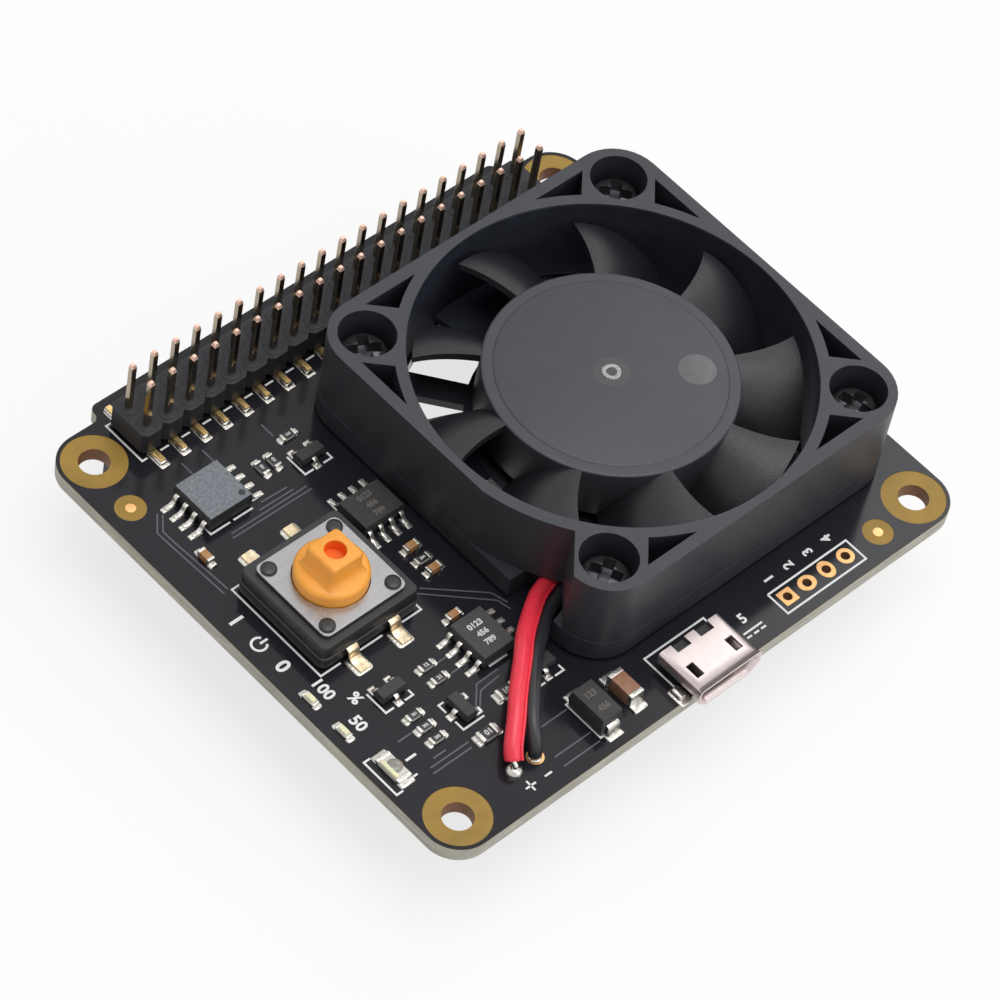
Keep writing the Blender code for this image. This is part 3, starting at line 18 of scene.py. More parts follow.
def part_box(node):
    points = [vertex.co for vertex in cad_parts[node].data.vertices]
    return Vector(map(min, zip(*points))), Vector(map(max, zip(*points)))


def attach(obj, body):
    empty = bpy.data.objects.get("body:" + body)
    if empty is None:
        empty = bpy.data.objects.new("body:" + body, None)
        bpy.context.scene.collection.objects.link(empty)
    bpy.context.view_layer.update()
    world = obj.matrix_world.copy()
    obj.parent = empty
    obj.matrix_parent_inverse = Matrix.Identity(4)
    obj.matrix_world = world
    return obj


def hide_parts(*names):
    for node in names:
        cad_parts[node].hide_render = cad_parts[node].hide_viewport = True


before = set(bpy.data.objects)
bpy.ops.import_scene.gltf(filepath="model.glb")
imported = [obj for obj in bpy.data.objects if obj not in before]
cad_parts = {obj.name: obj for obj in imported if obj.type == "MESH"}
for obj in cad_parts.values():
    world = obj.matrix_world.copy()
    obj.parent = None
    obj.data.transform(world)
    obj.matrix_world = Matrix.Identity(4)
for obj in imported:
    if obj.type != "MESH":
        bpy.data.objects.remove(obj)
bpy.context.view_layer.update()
MM = 0.001
# The smallest corner of a bar, and the radius at which a turned face closes on its axis
SMALLEST_CORNER = 0.015
POLE = 0.01
Array = np.ndarray
log = logging.getLogger("dressing")


class Body(Enum):
    """The bodies of the frame that a piece can ride on."""

    BOARD = "board_assembly"
    ROTOR = "rotor"
    PLUNGER = "plunger"


class Axis(Enum):
    """The way a part's length runs, in degrees from X."""

    ALONG_X = 0.0
    ALONG_Y = 90.0


@dataclass(frozen=True)
class Box:
    """The corners of a node of the frame, in millimetres."""

    low: Array
    high: Array

    @classmethod
    def of(cls, node: str) -> "Box":
        """The box of a node at rest."""
        low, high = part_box(node)
        return cls(np.array(low) / MM, np.array(high) / MM)

    @property
    def centre(self) -> Array:
        """The middle of the box."""
        return (self.low + self.high) / 2

    @property
    def size(self) -> Array:
        """The three sides of the box."""
        return self.high - self.low

    @property
    def bottom(self) -> float:
        """The box's lowest height."""
        return float(self.low[2])

    @property
    def top(self) -> float:
        """The box's highest height."""
        return float(self.high[2])

    @property
    def axis(self) -> Axis:
        """The longer way of the box in plan."""
        return Axis.ALONG_X if self.size[0] >= self.size[1] else Axis.ALONG_Y


# Finishes

def linear(colour: Sequence[float]) -> Array:
    """Linear values of an sRGB colour written from 0 to 255.

    Args:
        colour: Red, green and blue.

    Returns:
        The three linear values.
    """
    share = np.array(colour, float) / 255
    return np.where(share <= 0.04045, share / 12.92, ((share + 0.055) / 1.055) ** 2.4)


@dataclass(frozen=True)
class Finish:
    """A procedural finish: a clouded colour under a fine grain.

    The colour wanders by the share mottle over mottle_size, the gloss by gloss_spread over grain_size,
    and the grain stands grain high. Stretch draws the pattern out along an axis.
    """

    name: str
    colour: tuple[float, float, float]
    roughness: float
    metallic: float = 0.0
    mottle: float = 0.12
    mottle_size: float = 1.5
    grain: float = 0.004
    grain_size: float = 0.12
    gloss_spread: float = 0.06
    stretch: tuple[float, float, float] = (1.0, 1.0, 1.0)
    scatter: float = 0.0
    specular: float = 0.5

    def noise(self, tree: bpy.types.NodeTree, place: bpy.types.Node, size: float) -> bpy.types.Node:
        """A noise of a given cell size on the piece's own coordinates.

        Args:
            tree: The material's nodes.
            place: The node that gives the coordinates.
            size: Width of a cell in millimetres.

        Returns:
            The noise node.
        """
        node = tree.nodes.new("ShaderNodeTexNoise")
        node.inputs["Scale"].default_value = 1 / (size * MM)
        node.inputs["Detail"].default_value = 3.0
        tree.links.new(place.outputs["Vector"], node.inputs["Vector"])
        return node

    def material(self) -> bpy.types.Material:
        """The material of this finish, made the first time that it is asked for.

        Returns:
            The Blender material.
        """
        ready = bpy.data.materials.get(self.name)
        if ready is not None:
            return ready
        material = bpy.data.materials.new(self.name)
        material.use_nodes = True
        tree = material.node_tree
        shader = tree.nodes["Principled BSDF"]
        shader.inputs["Metallic"].default_value = self.metallic
        shader.inputs["Specular IOR Level"].default_value = self.specular
        shader.inputs["Subsurface Weight"].default_value = self.scatter
        shader.inputs["Subsurface Scale"].default_value = MM
        source = tree.nodes.new("ShaderNodeTexCoord")
        place = tree.nodes.new("ShaderNodeMapping")
        place.inputs["Scale"].default_value = self.stretch
        tree.links.new(source.outputs["Object"], place.inputs["Vector"])
        tones = tree.nodes.new("ShaderNodeValToRGB")
        base = linear(self.colour)
        ends = zip(tones.color_ramp.elements, (0.3, 0.7), (1 - self.mottle, 1 + self.mottle))
        for element, position, share in ends:
            element.position = position
            element.color = (*np.clip(base * share, 0, 1), 1)
        tree.links.new(self.noise(tree, place, self.mottle_size).outputs["Fac"], tones.inputs["Fac"])
        tree.links.new(tones.outputs["Color"], shader.inputs["Base Color"])
        grain = self.noise(tree, place, self.grain_size)
        gloss = tree.nodes.new("ShaderNodeMapRange")
        gloss.inputs["To Min"].default_value = max(self.roughness - self.gloss_spread, 0.02)
        gloss.inputs["To Max"].default_value = self.roughness + self.gloss_spread
        tree.links.new(grain.outputs["Fac"], gloss.inputs["Value"])
        tree.links.new(gloss.outputs["Result"], shader.inputs["Roughness"])
        bump = tree.nodes.new("ShaderNodeBump")
        bump.inputs["Distance"].default_value = self.grain * MM
        tree.links.new(grain.outputs["Fac"], bump.inputs["Height"])
        tree.links.new(bump.outputs["Normal"], shader.inputs["Normal"])
        return material


LACQUER = Finish(
    "board_lacquer", (31, 31, 37), 0.13, mottle=0.1, mottle_size=7, grain=0.0006, grain_size=0.5,
    gloss_spread=0.03, specular=0.32
)
TRACE = Finish("lacquer_over_copper", (92, 92, 99), 0.24, mottle=0.1, grain=0.001, grain_size=0.3)
BARE_LAMINATE = Finish(
    "bare_laminate", (158, 126, 55), 0.45, specular=0.35, mottle=0.12, mottle_size=2.5, grain=0.002
)
LAMINATE_EDGE = Finish(
    "laminate_edge", (172, 168, 155), 0.6, mottle=0.22, mottle_size=1.2, grain=0.01, stretch=(0.35, 0.35, 3)
)
HOLE_WALL = Finish("drilled_laminate", (124, 80, 38), 0.55, mottle=0.3, mottle_size=0.5, stretch=(1, 1, 3))
PRINT = Finish("white_print", (236, 236, 236), 0.55, mottle=0.05, grain=0.004, grain_size=0.1)
GOLD_PAD = Finish("gold_pad", (244, 190, 128), 0.36, metallic=0.8, mottle=0.1, mottle_size=0.5)
TIN = Finish(
    "tinned_pad", (206, 203, 196), 0.28, metallic=0.9, mottle=0.16, mottle_size=0.4, grain=0.03,
    grain_size=0.3
)
SOLDER = Finish("solder", (196, 193, 188), 0.2, metallic=1.0, mottle=0.12, grain=0.02, grain_size=0.3)
PIN_GOLD = Finish(
    "pin_gold", (166, 154, 136), 0.15, metallic=1.0, mottle=0.05, mottle_size=2, grain=0.0,
    gloss_spread=0.03
)
# Painted highlight: a paler, pinkish copy of the pin gold on the blunt tips.
PIN_TIP_HIGHLIGHT = Finish("pin_tip_highlight", (238, 200, 182), 0.4, metallic=0.6, mottle=0.06, grain=0.002)
# Painted highlight: a brighter copy of the pin gold on the feet that lie on the pads.
FOOT_GOLD_HIGHLIGHT = Finish(
    "pin_foot_painted_highlight", (242, 208, 142), 0.22, metallic=0.9, mottle=0.12, mottle_size=0.4, grain=0.01
)
LEG_BRASS = Finish(
    "leg_brass", (226, 206, 172), 0.28, metallic=0.85, mottle=0.14, mottle_size=0.5, grain=0.01
)
HEADER_BLACK = Finish(
    "header_plastic", (29, 30, 36), 0.52, specular=0.4, mottle=0.12, grain=0.008, grain_size=0.2
)
FAN_BLACK = Finish(
    "fan_moulding", (43, 45, 51), 0.44, mottle=0.14, mottle_size=2, grain=0.016, grain_size=0.16
)
# Painted shade: a darker, nearly unreflecting copy of the fan moulding for the inside of the duct and the
# bridges between the struts.
DUCT_PAINTED_SHADE = Finish(
    "duct_painted_shade", (43, 46, 55), 0.6, mottle=0.12, mottle_size=2, grain=0.008, specular=0.02
)
ROTOR_BLACK = Finish(
    "rotor_moulding", (55, 54, 60), 0.44, mottle=0.08, mottle_size=3, grain=0.014, grain_size=0.16
)
BLADE_BLACK = Finish(
    "blade_moulding", (30, 31, 35), 0.36, mottle=0.2, mottle_size=0.3, grain=0.03, grain_size=0.13,
    gloss_spread=0.14, specular=0.42
)
HUB_MARK = Finish("hub_mark", (94, 94, 97), 0.36, mottle=0.1, mottle_size=1, grain=0.006, grain_size=0.2)
GATE_HALO = Finish("gate_halo", (63, 63, 66), 0.4, mottle=0.1, mottle_size=1, grain=0.008, grain_size=0.2)
GATE_MARK = Finish(
    "gate_mark", (168, 168, 170), 0.4, mottle=0.3, mottle_size=0.25, grain=0.05, grain_size=0.2
)
SCREW_BLACK = Finish(
    "blackened_steel", (86, 86, 90), 0.22, metallic=0.7, mottle=0.2, grain=0.004, grain_size=0.2
)
STEEL = Finish("plain_steel", (190, 190, 192), 0.32, metallic=1.0, mottle=0.1, grain=0.003)
BRASS = Finish("bearing_brass", (196, 160, 92), 0.35, metallic=1.0, mottle=0.12)
MAGNET = Finish("magnet_rubber", (66, 62, 58), 0.7, mottle=0.15)
WINDING = Finish("enamelled_winding", (168, 88, 48), 0.35, metallic=0.7, mottle=0.2, stretch=(1, 1, 6))
SWITCH_BLACK = Finish("switch_plastic", (33, 33, 35), 0.42, mottle=0.14, grain=0.01, grain_size=0.2)
SWITCH_PLATE = Finish(
    "switch_plate", (170, 169, 170), 0.26, metallic=0.85, mottle=0.05, grain=0.002, grain_size=0.3,
    stretch=(0.2, 1, 1)
)
ORANGE = Finish("plunger_orange", (255, 170, 64), 0.4, mottle=0.05, grain=0.004, scatter=0.15)
# Painted shade: a darker copy of the plunger orange for the hole in its stem.
ORANGE_PAINTED_SHADE = Finish("plunger_orange_painted_shade", (250, 126, 42), 0.5, mottle=0.06, scatter=0.15)
NICKEL = Finish(
    "inlet_nickel", (214, 201, 199), 0.3, metallic=0.92, mottle=0.05, mottle_size=2, grain=0.002
)
INLET_BLACK = Finish("inlet_plastic", (34, 34, 36), 0.5, mottle=0.1)
GREY_MOULD = Finish(
    "grey_mould_compound", (115, 121, 127), 0.6, mottle=0.3, mottle_size=0.3, grain=0.02, grain_size=0.14
)
# The dark mould of the small parts, and also painted shade on the control chip's sides.
DARK_MOULD_AND_SIDE_SHADE = Finish(
    "dark_mould_and_side_shade", (43, 42, 43), 0.55, mottle=0.14, mottle_size=0.5, grain=0.012, grain_size=0.1
)
SLATE_MOULD = Finish(
    "slate_mould_compound", (58, 58, 61), 0.55, mottle=0.14, mottle_size=0.5, grain=0.012, grain_size=0.1
)
MARK_WHITE = Finish("laser_mark", (216, 216, 216), 0.6, mottle=0.08, mottle_size=0.2)
MARK_DIM = Finish("faint_laser_mark", (98, 92, 86), 0.6, mottle=0.1, mottle_size=0.2)
CERAMIC_TAN = Finish("tan_ceramic", (176, 128, 82), 0.4, mottle=0.12, mottle_size=0.4)
CERAMIC_BROWN = Finish("brown_ceramic", (152, 110, 84), 0.42, mottle=0.12, mottle_size=0.6)
ALUMINA = Finish("alumina", (214, 212, 204), 0.5, mottle=0.06, mottle_size=0.3)
RESISTOR_BLACK = Finish("resistor_glaze", (34, 34, 36), 0.3, mottle=0.1, mottle_size=0.3)
LENS = Finish("light_lens", (248, 238, 200), 0.25, mottle=0.06, mottle_size=0.4, scatter=0.3)
LENS_GREY = Finish("light_window", (150, 148, 138), 0.14, mottle=0.1, mottle_size=0.4, scatter=0.2)
RED_COVER = Finish(
    "red_insulation", (245, 58, 77), 0.34, mottle=0.06, mottle_size=1, grain=0.004, scatter=0.1
)
BLACK_COVER = Finish("black_insulation", (38, 40, 44), 0.36, mottle=0.08, mottle_size=1, grain=0.004)


# Outlines and surfaces

def arc(centre: Sequence[float], radius: float, start: float, end: float, steps: int = 8) -> Array:
    """Points of an arc: centre plus radius times (cos a, sin a), for a from start to end in degrees.

    Args:
        centre: Middle of the arc.
        radius: Its radius.
        start: First angle.
        end: Last angle.
        steps: Number of chords.

    Returns:
        An array of points in plan.
    """
    angle = np.radians(np.linspace(start, end, steps + 1))
    return np.array(centre[:2]) + radius * np.stack([np.cos(angle), np.sin(angle)], -1)


def circle(radius: float, sides: int = 48, centre: Sequence[float] = (0.0, 0.0)) -> Array:
    """Points round a circle, counter-clockwise."""
    return arc(centre, radius, 0, 360, sides)[:-1]


def rounded(length: float, width: float, radius: float, steps: int = 5,
            centre: Sequence[float] = (0.0, 0.0)) -> Array:
    """Points round a rectangle whose corners are quarter circles, counter-clockwise.

    Args:
        length: Side along X.
        width: Side along Y.
        radius: Radius of the corners.
        steps: Chords in a corner.
        centre: Middle of the rectangle.

    Returns:
        An array of points in plan.
    """
    x, y = length / 2 - radius, width / 2 - radius
    corners = ((x, y, 0), (-x, y, 90), (-x, -y, 180), (x, -y, 270))
    parts = [arc((cx, cy), radius, turn, turn + 90, steps) for cx, cy, turn in corners]
    return np.concatenate(parts) + np.array(centre[:2])


def drawn_in(outline: Array, inset: float) -> Array:
    """A counter-clockwise outline moved inwards, each point along the mitre of its two edges.

    Args:
        outline: Points in plan.
        inset: Distance inwards.

    Returns:
        The moved points.
    """
    ahead = np.roll(outline, -1, 0) - outline
    ahead = ahead / np.linalg.norm(ahead, axis=1, keepdims=True)
    left = np.stack([-ahead[:, 1], ahead[:, 0]], -1)
    middle = left + np.roll(left, 1, 0)
    middle = middle / np.linalg.norm(middle, axis=1, keepdims=True)
    return outline + middle * inset / np.sum(middle * left, 1, keepdims=True)


def ring_at(outline: Array, height: float) -> Array:
    """An outline in plan as a ring in space at one height."""
    return np.column_stack([outline, np.full(len(outline), height)])


def stacked(outline: Array, levels: Sequence[tuple[float, float]]) -> Array:
    """An outline carried up through levels of (inset, height) and drawn in by each inset.

    Args:
        outline: Points in plan, counter-clockwise.
        levels: Inset and height of each ring.

    Returns:
        Rings of shape (levels, points, 3).
    """
    return np.stack([ring_at(drawn_in(outline, inset), height) for inset, height in levels])


def bar(length: float, width: float, radius: float, levels: Sequence[tuple[float, float]],
        centre: Sequence[float] = (0.0, 0.0), steps: int = 3) -> Array:
    """A rounded rectangle carried up through levels of (inset, height). Its corners shrink with the inset.

    Args:
        length: Side along X.
        width: Side along Y.
        radius: Radius of the corners at no inset.
        levels: Inset and height of each ring.
        centre: Middle of the rectangle.
        steps: Chords in a corner.

    Returns:
        Rings of shape (levels, points, 3).
    """
    rings = []
    for inset, height in levels:
        corner = max(radius - inset, SMALLEST_CORNER)
        outline = rounded(length - 2 * inset, width - 2 * inset, corner, steps, centre)
        rings.append(ring_at(outline, height))
    return np.stack(rings)


def eased(bottom: float, top: float, edge: float, steps: int = 3) -> list[tuple[float, float]]:
    """Levels of a block whose upper edge is a quarter round and whose lower edge is sharp.

    Args:
        bottom: Lowest height.
        top: Highest height.
        edge: Radius of the upper edge.
        steps: Chords in the round.

    Returns:
        Pairs of inset and height for stacked.
    """
    angle = np.radians(np.linspace(0, 90, steps + 1))
    crown = zip(edge * (1 - np.cos(angle)), top - edge + edge * np.sin(angle))
    return [(0.0, bottom)] + [(float(d), float(z)) for d, z in crown]


def turned(profile: Sequence[tuple[float, float]], sides: int = 48,
           centre: Sequence[float] = (0.0, 0.0)) -> Array:
    """A profile of (radius, height) points turned about an upright axis.

    Args:
        profile: Radius and height of each ring.
        sides: Points in a ring.
        centre: Place of the axis in plan.

    Returns:
        Rings of shape (profile, sides, 3).
    """
    shape = np.array(profile, float)
    around = circle(1.0, sides)
    plan = shape[:, None, :1] * around[None] + np.array(centre[:2])
    return np.concatenate([plan, np.repeat(shape[:, None, 1:], sides, 1)], -1)


def swept(path: Array, section: Array, across: Sequence[float], scale: Array | None = None) -> Array:
    """A section carried along a path: point p plus x times across plus y times (across x tangent).

    Args:
        path: Points in space.
        section: Points (x, y) of the section.
        across: Direction of the section's x.
        scale: Size of the section at each point of the path.

    Returns:
        Rings of shape (path, section, 3).
    """
    tangent = np.gradient(path, axis=0)
    tangent = tangent / np.linalg.norm(tangent, axis=1, keepdims=True)
    side = np.array(across, float) - (tangent @ np.array(across, float))[:, None] * tangent
    side = side / np.linalg.norm(side, axis=1, keepdims=True)
    up = np.cross(side, tangent)
    size = np.ones(len(path)) if scale is None else scale
    spread = section[None, :, :1] * side[:, None] + section[None, :, 1:] * up[:, None]
    return path[:, None] + size[:, None, None] * spread


def softened(points: Sequence[Sequence[float]], rounds: int = 2) -> Array:
    """Corner cutting: each round swaps a leg for its points at one and three quarters.

    Args:
        points: The corners of an open path.
        rounds: Number of cuts.

    Returns:
        The rounded path, with its ends kept.
    """
    path = np.array(points, float)
    for _ in range(rounds):
        cut = np.stack([0.75 * path[:-1] + 0.25 * path[1:], 0.25 * path[:-1] + 0.75 * path[1:]], 1)
        path = np.concatenate([path[:1], cut.reshape(-1, path.shape[1]), path[-1:]])
    return path


def curve_through(points: Sequence[Sequence[float]], samples: int = 8) -> Array:
    """A cubic through the points whose slope at each is half the step between its neighbours.

    Args:
        points: Points in space.
        samples: Points from one to the next.

    Returns:
        The points along the curve.
    """
    p = np.array(points, float)
    p = np.concatenate([2 * p[:1] - p[1:2], p, 2 * p[-1:] - p[-2:-1]])
    t = np.linspace(0, 1, samples, endpoint=False)[None, :, None]
    a, b, c, d = (p[i:len(p) - 3 + i][:, None] for i in range(4))
    bend = (2 * a - 5 * b + 4 * c - d) * t**2 + (3 * b - a - 3 * c + d) * t**3
    route = (2 * b + (c - a) * t + bend) / 2
    return np.concatenate([route.reshape(-1, 3), p[-2:-1]])


def ribbon(points: Sequence[Sequence[float]], width: float, bottom: float, top: float) -> Array:
    """A flat strip along a path in plan, its sides half a width to the left and right with mitred bends.

    Args:
        points: The path.
        width: Width of the strip.
        bottom: Lower height.
        top: Upper height.

    Returns:
        Rings of shape (points, 4, 3).
    """
    path = np.array(points, float)
    ahead = np.diff(path, axis=0)
    ahead = ahead / np.linalg.norm(ahead, axis=1, keepdims=True)
    left = np.stack([-ahead[:, 1], ahead[:, 0]], -1)
    after = np.concatenate([left, left[-1:]])
    middle = np.concatenate([left[:1], left]) + after
    middle = middle / np.linalg.norm(middle, axis=1, keepdims=True)
    shift = middle * width / 2 / np.sum(middle * after, 1, keepdims=True)
    sides = np.stack([path + shift, path - shift, path - shift, path + shift], 1)
    heights = np.broadcast_to(np.array([bottom, bottom, top, top])[None, :, None], (len(path), 4, 1))
    return np.concatenate([sides, heights], -1)


def moved(rings: Array, place: Sequence[float], turn: float = 0.0) -> Array:
    """Rings turned about Z by an angle in degrees and carried to a place."""
    c, s = math.cos(math.radians(turn)), math.sin(math.radians(turn))
    return rings @ np.array([[c, s, 0], [-s, c, 0], [0, 0, 1]]) + np.array(place, float)


def mesh_arrays(source: bpy.types.Object) -> tuple[Array, list[list[int]], Array]:
    """Vertices, faces and face normals of an object as evaluated, with its doubles merged.

    Args:
        source: A curve, text or mesh object, which is removed.

    Returns:
        Vertices, the corners of each face and the normals.
    """
    bpy.context.view_layer.update()
    graph = bpy.context.evaluated_depsgraph_get()
    mesh = bpy.data.meshes.new_from_object(source.evaluated_get(graph))
    solid = bmesh.new()
    solid.from_mesh(mesh)
    bmesh.ops.remove_doubles(solid, verts=solid.verts, dist=1e-5)
    bmesh.ops.recalc_face_normals(solid, faces=solid.faces)
    solid.verts.index_update()
    points = np.array([v.co[:] for v in solid.verts])
    faces = [[v.index for v in f.verts] for f in solid.faces]
    normals = np.array([f.normal[:] for f in solid.faces])
    solid.free()
    bpy.data.meshes.remove(mesh)
    bpy.data.objects.remove(source)
    return points, faces, normals


def linked(name: str, data: bpy.types.ID) -> bpy.types.Object:
    """A new object of the scene.

    Args:
        name: Its name.
        data: Its mesh, curve, lamp or camera.

    Returns:
        The object.
    """
    made = bpy.data.objects.new(name, data)
    bpy.context.scene.collection.objects.link(made)
    return made


def filled(loops: Sequence[Array], bottom: float, top: float) -> tuple[Array, list[list[int]], Array]:
    """A plate between two heights. Loops inside the first one are its holes.

    Args:
        loops: Closed outlines in plan.
        bottom: Lower height.
        top: Upper height.

    Returns:
        Vertices, faces and face normals.
    """
    curve = bpy.data.curves.new("outline", "CURVE")
    curve.dimensions = "2D"
    curve.fill_mode = "BOTH"
    curve.extrude = (top - bottom) / 2
    for loop in loops:
        spline = curve.splines.new("POLY")
        spline.points.add(len(loop) - 1)
        rest = np.tile((0.0, 1.0), (len(loop), 1))
        spline.points.foreach_set("co", np.column_stack([loop, rest]).ravel())
        spline.use_cyclic_u = True
    points, faces, normals = mesh_arrays(linked("outline", curve))
    return points + (0, 0, (top + bottom) / 2), faces, normals


def outward(mesh: bpy.types.Mesh) -> None:
    """Turns the faces of a mesh outwards.

    Args:
        mesh: The mesh, changed in place.
    """
    solid = bmesh.new()
    solid.from_mesh(mesh)
    bmesh.ops.recalc_face_normals(solid, faces=solid.faces)
    solid.to_mesh(mesh)
    solid.free()


@dataclass
class Piece:
    """The surfaces of one object, each with its finish."""

    name: str
    points: list[Array] = field(default_factory=list)
    faces: list[list[int]] = field(default_factory=list)
    marks: list[int] = field(default_factory=list)
    finishes: list[Finish] = field(default_factory=list)
    total: int = 0

    def mark(self, finish: Finish) -> int:
        """The number of a finish on this piece.

        Args:
            finish: The finish, which is taken in where it is new here.

        Returns:
            Its place in the piece's list.
        """
        if finish not in self.finishes:
            self.finishes.append(finish)
        return self.finishes.index(finish)

    def add(self, points: Array, faces: Sequence[Sequence[int]], marks: int | Sequence[int]) -> None:
        """Takes in a surface.

        Args:
            points: Its vertices.
            faces: The corners of each face.
            marks: The finish number of all faces, or of each.
        """
        self.points.append(points)
        self.faces += [[self.total + i for i in face] for face in faces]
        self.marks += [marks] * len(faces) if isinstance(marks, int) else list(marks)
        self.total += len(points)

    def loft(self, rings: Array, finish: Finish, caps: bool = True) -> None:
        """Skins a stack of closed rings with quads and closes both ends.

        Args:
            rings: Array of shape (rings, points, 3).
            finish: The surface's finish.
            caps: Whether the first and last rings are closed.
        """
        count, sides = rings.shape[:2]
        row, column = np.meshgrid(np.arange(count - 1), np.arange(sides), indexing="ij")
        beside = (column + 1) % sides
        quads = np.stack([row * sides + column, row * sides + beside,
                          (row + 1) * sides + beside, (row + 1) * sides + column], -1)
        faces = quads.reshape(-1, 4).tolist()
        if caps:
            faces += [list(range(sides))[::-1], list(range((count - 1) * sides, count * sides))]
        self.add(rings.reshape(-1, 3), faces, self.mark(finish))

    def wall(self, rings: Array, finish: Finish) -> None:
        """Skins rings that run out and back, so that the last one joins the first."""
        self.loft(np.concatenate([rings, rings[:1]]), finish, caps=False)

    def plate(self, loops: Sequence[Array], bottom: float, top: float, finish: Finish,
              side: Finish | None = None) -> None:
        """Adds a plate with holes, whose edges may have a finish of their own.

        Args:
            loops: Its outline and its holes.
            bottom: Lower height.
            top: Upper height.
            finish: Finish of its flat faces.
            side: Finish of its edges.
        """
        points, faces, normals = filled(loops, bottom, top)
        flat, edge = self.mark(finish), self.mark(side or finish)
        self.add(points, faces, np.where(abs(normals[:, 2]) > 0.5, flat, edge).tolist())

    def numerals(self, text: str, height: float, place: Sequence[float], finish: Finish, turn: float = 0.0,
                 weight: float = 0.04, thick: float = 0.02) -> None:
        """Adds plain numerals that lie flat on a surface.

        Args:
            text: The numerals.
            height: Their height.
            place: Their middle on the surface.
            finish: Their finish.
            turn: Degrees about Z.
            weight: How much bolder than the plain face, as a share of the height.
            thick: How far they stand up, as a share of the height.
        """
        curve = bpy.data.curves.new("numerals", "FONT")
        curve.body = text
        curve.align_x = "CENTER"
        curve.align_y = "CENTER"
        curve.size = 1.0
        curve.offset = weight
        curve.extrude = thick / 2
        curve.resolution_u = 3
        points, faces, _ = mesh_arrays(linked("numerals", curve))
        size = height / (points[:, 1].max() - points[:, 1].min())
        flat = (points - (points.max(0) + points.min(0)) / 2) * size
        above = moved(flat + (0, 0, flat[:, 2].max()), place, turn)
        self.add(above, faces, self.mark(finish))

    def place(
        self, body: Body, slot: str, *nodes: str, edge: float = 0.0, crease: float = 38.0
    ) -> bpy.types.Object:
        """Makes the object, which rides on a body and stands for nodes of the frame.

        Args:
            body: The body that carries it.
            slot: The record's material slot; not used.
            nodes: The nodes that it replaces.
            edge: Width of a small round on its sharp edges.
            crease: Angle in degrees from which an edge is sharp.

        Returns:
            The object.
        """
        mesh = bpy.data.meshes.new(self.name)
        mesh.from_pydata(np.concatenate(self.points) * MM, [], self.faces)
        mesh.polygons.foreach_set("material_index", np.array(self.marks, np.int32))
        for finish in self.finishes:
            mesh.materials.append(finish.material())
        outward(mesh)
        mesh.shade_smooth()
        mesh.set_sharp_from_angle(angle=math.radians(crease))
        made = linked(self.name, mesh)
        if edge:
            bevel = made.modifiers.new("Edges", "BEVEL")
            bevel.width = edge * MM
            bevel.segments = 2
            bevel.limit_method = "ANGLE"
            bevel.angle_limit = math.radians(crease)
            bevel.harden_normals = True
        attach(made, body.value)
        if nodes:
            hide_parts(*nodes)
        log.info("%s: %d faces, rides on %s", self.name, len(self.faces), body.value)
        return made


def cut(target: bpy.types.Object, points: Array, faces: list[list[int]]) -> None:
    """Cuts a closed shape out of a piece for good, before its edges are rounded.

    Args:
        target: The piece.
        points: The cutter's vertices in millimetres.
        faces: The cutter's faces.
    """
    mesh = bpy.data.meshes.new("cutter")
    mesh.from_pydata(points * MM, [], faces)
    outward(mesh)
    tool = linked("cutter", mesh)
    knife = target.modifiers.new("Cut", "BOOLEAN")
    knife.operation = "DIFFERENCE"
    knife.solver = "EXACT"
    knife.object = tool
    waiting = [m for m in target.modifiers if m.type == "BEVEL"]
    for modifier in waiting:
        modifier.show_viewport = False
    bpy.context.view_layer.update()
    graph = bpy.context.evaluated_depsgraph_get()
    result = bpy.data.meshes.new_from_object(target.evaluated_get(graph))
    target.modifiers.remove(knife)
    for modifier in waiting:
        modifier.show_viewport = True
    old = target.data
    target.data = result
    result.name = target.name
    bpy.data.meshes.remove(old)
    bpy.data.objects.remove(tool)
    bpy.data.meshes.remove(mesh)


def prism(outline: Array, bottom: float, top: float, shrink: float = 1.0) -> tuple[Array, list[list[int]]]:
    """A closed prism on an outline, whose lower end may be smaller.

    Args:
        outline: Points in plan, counter-clockwise.
        bottom: Lower height.
        top: Upper height.
        shrink: Size of the lower end as a share of the upper one.

    Returns:
        Vertices and faces.
    """
    count = len(outline)
    middle = outline.mean(0)
    low = ring_at(middle + (outline - middle) * shrink, bottom)
    high = ring_at(outline, top)
    around = np.arange(count)
    beside = (around + 1) % count
    sides = np.stack([around, beside, beside + count, around + count], -1).tolist()
    return np.concatenate([low, high]), sides + [around[::-1].tolist(), (around + count).tolist()]


def boxes(spans: Sequence[tuple[Sequence[float], Sequence[float]]]) -> tuple[Array, list[list[int]]]:
    """Closed boxes between pairs of corners, as one set of vertices and faces.

    Args:
        spans: Lowest and highest corner of each box.

    Returns:
        Vertices and faces.
    """
    pick = np.array([[i >> 2 & 1, i >> 1 & 1, i & 1] for i in range(8)])
    ends = np.array(spans, float)
    points = np.where(pick[None] == 1, ends[:, None, 1], ends[:, None, 0])
    sides = np.array([[0, 1, 3, 2], [4, 6, 7, 5], [0, 4, 5, 1], [2, 3, 7, 6], [0, 2, 6, 4], [1, 5, 7, 3]])
    faces = sides[None] + 8 * np.arange(len(ends))[:, None, None]
    return points.reshape(-1, 3), faces.reshape(-1, 4).tolist()


# Layout shared by the sub-assemblies

BOARD = Box.of("board")
FAN = Box.of("fan_frame")
ROTOR = Box.of("fan_rotor")
DECK = BOARD.top
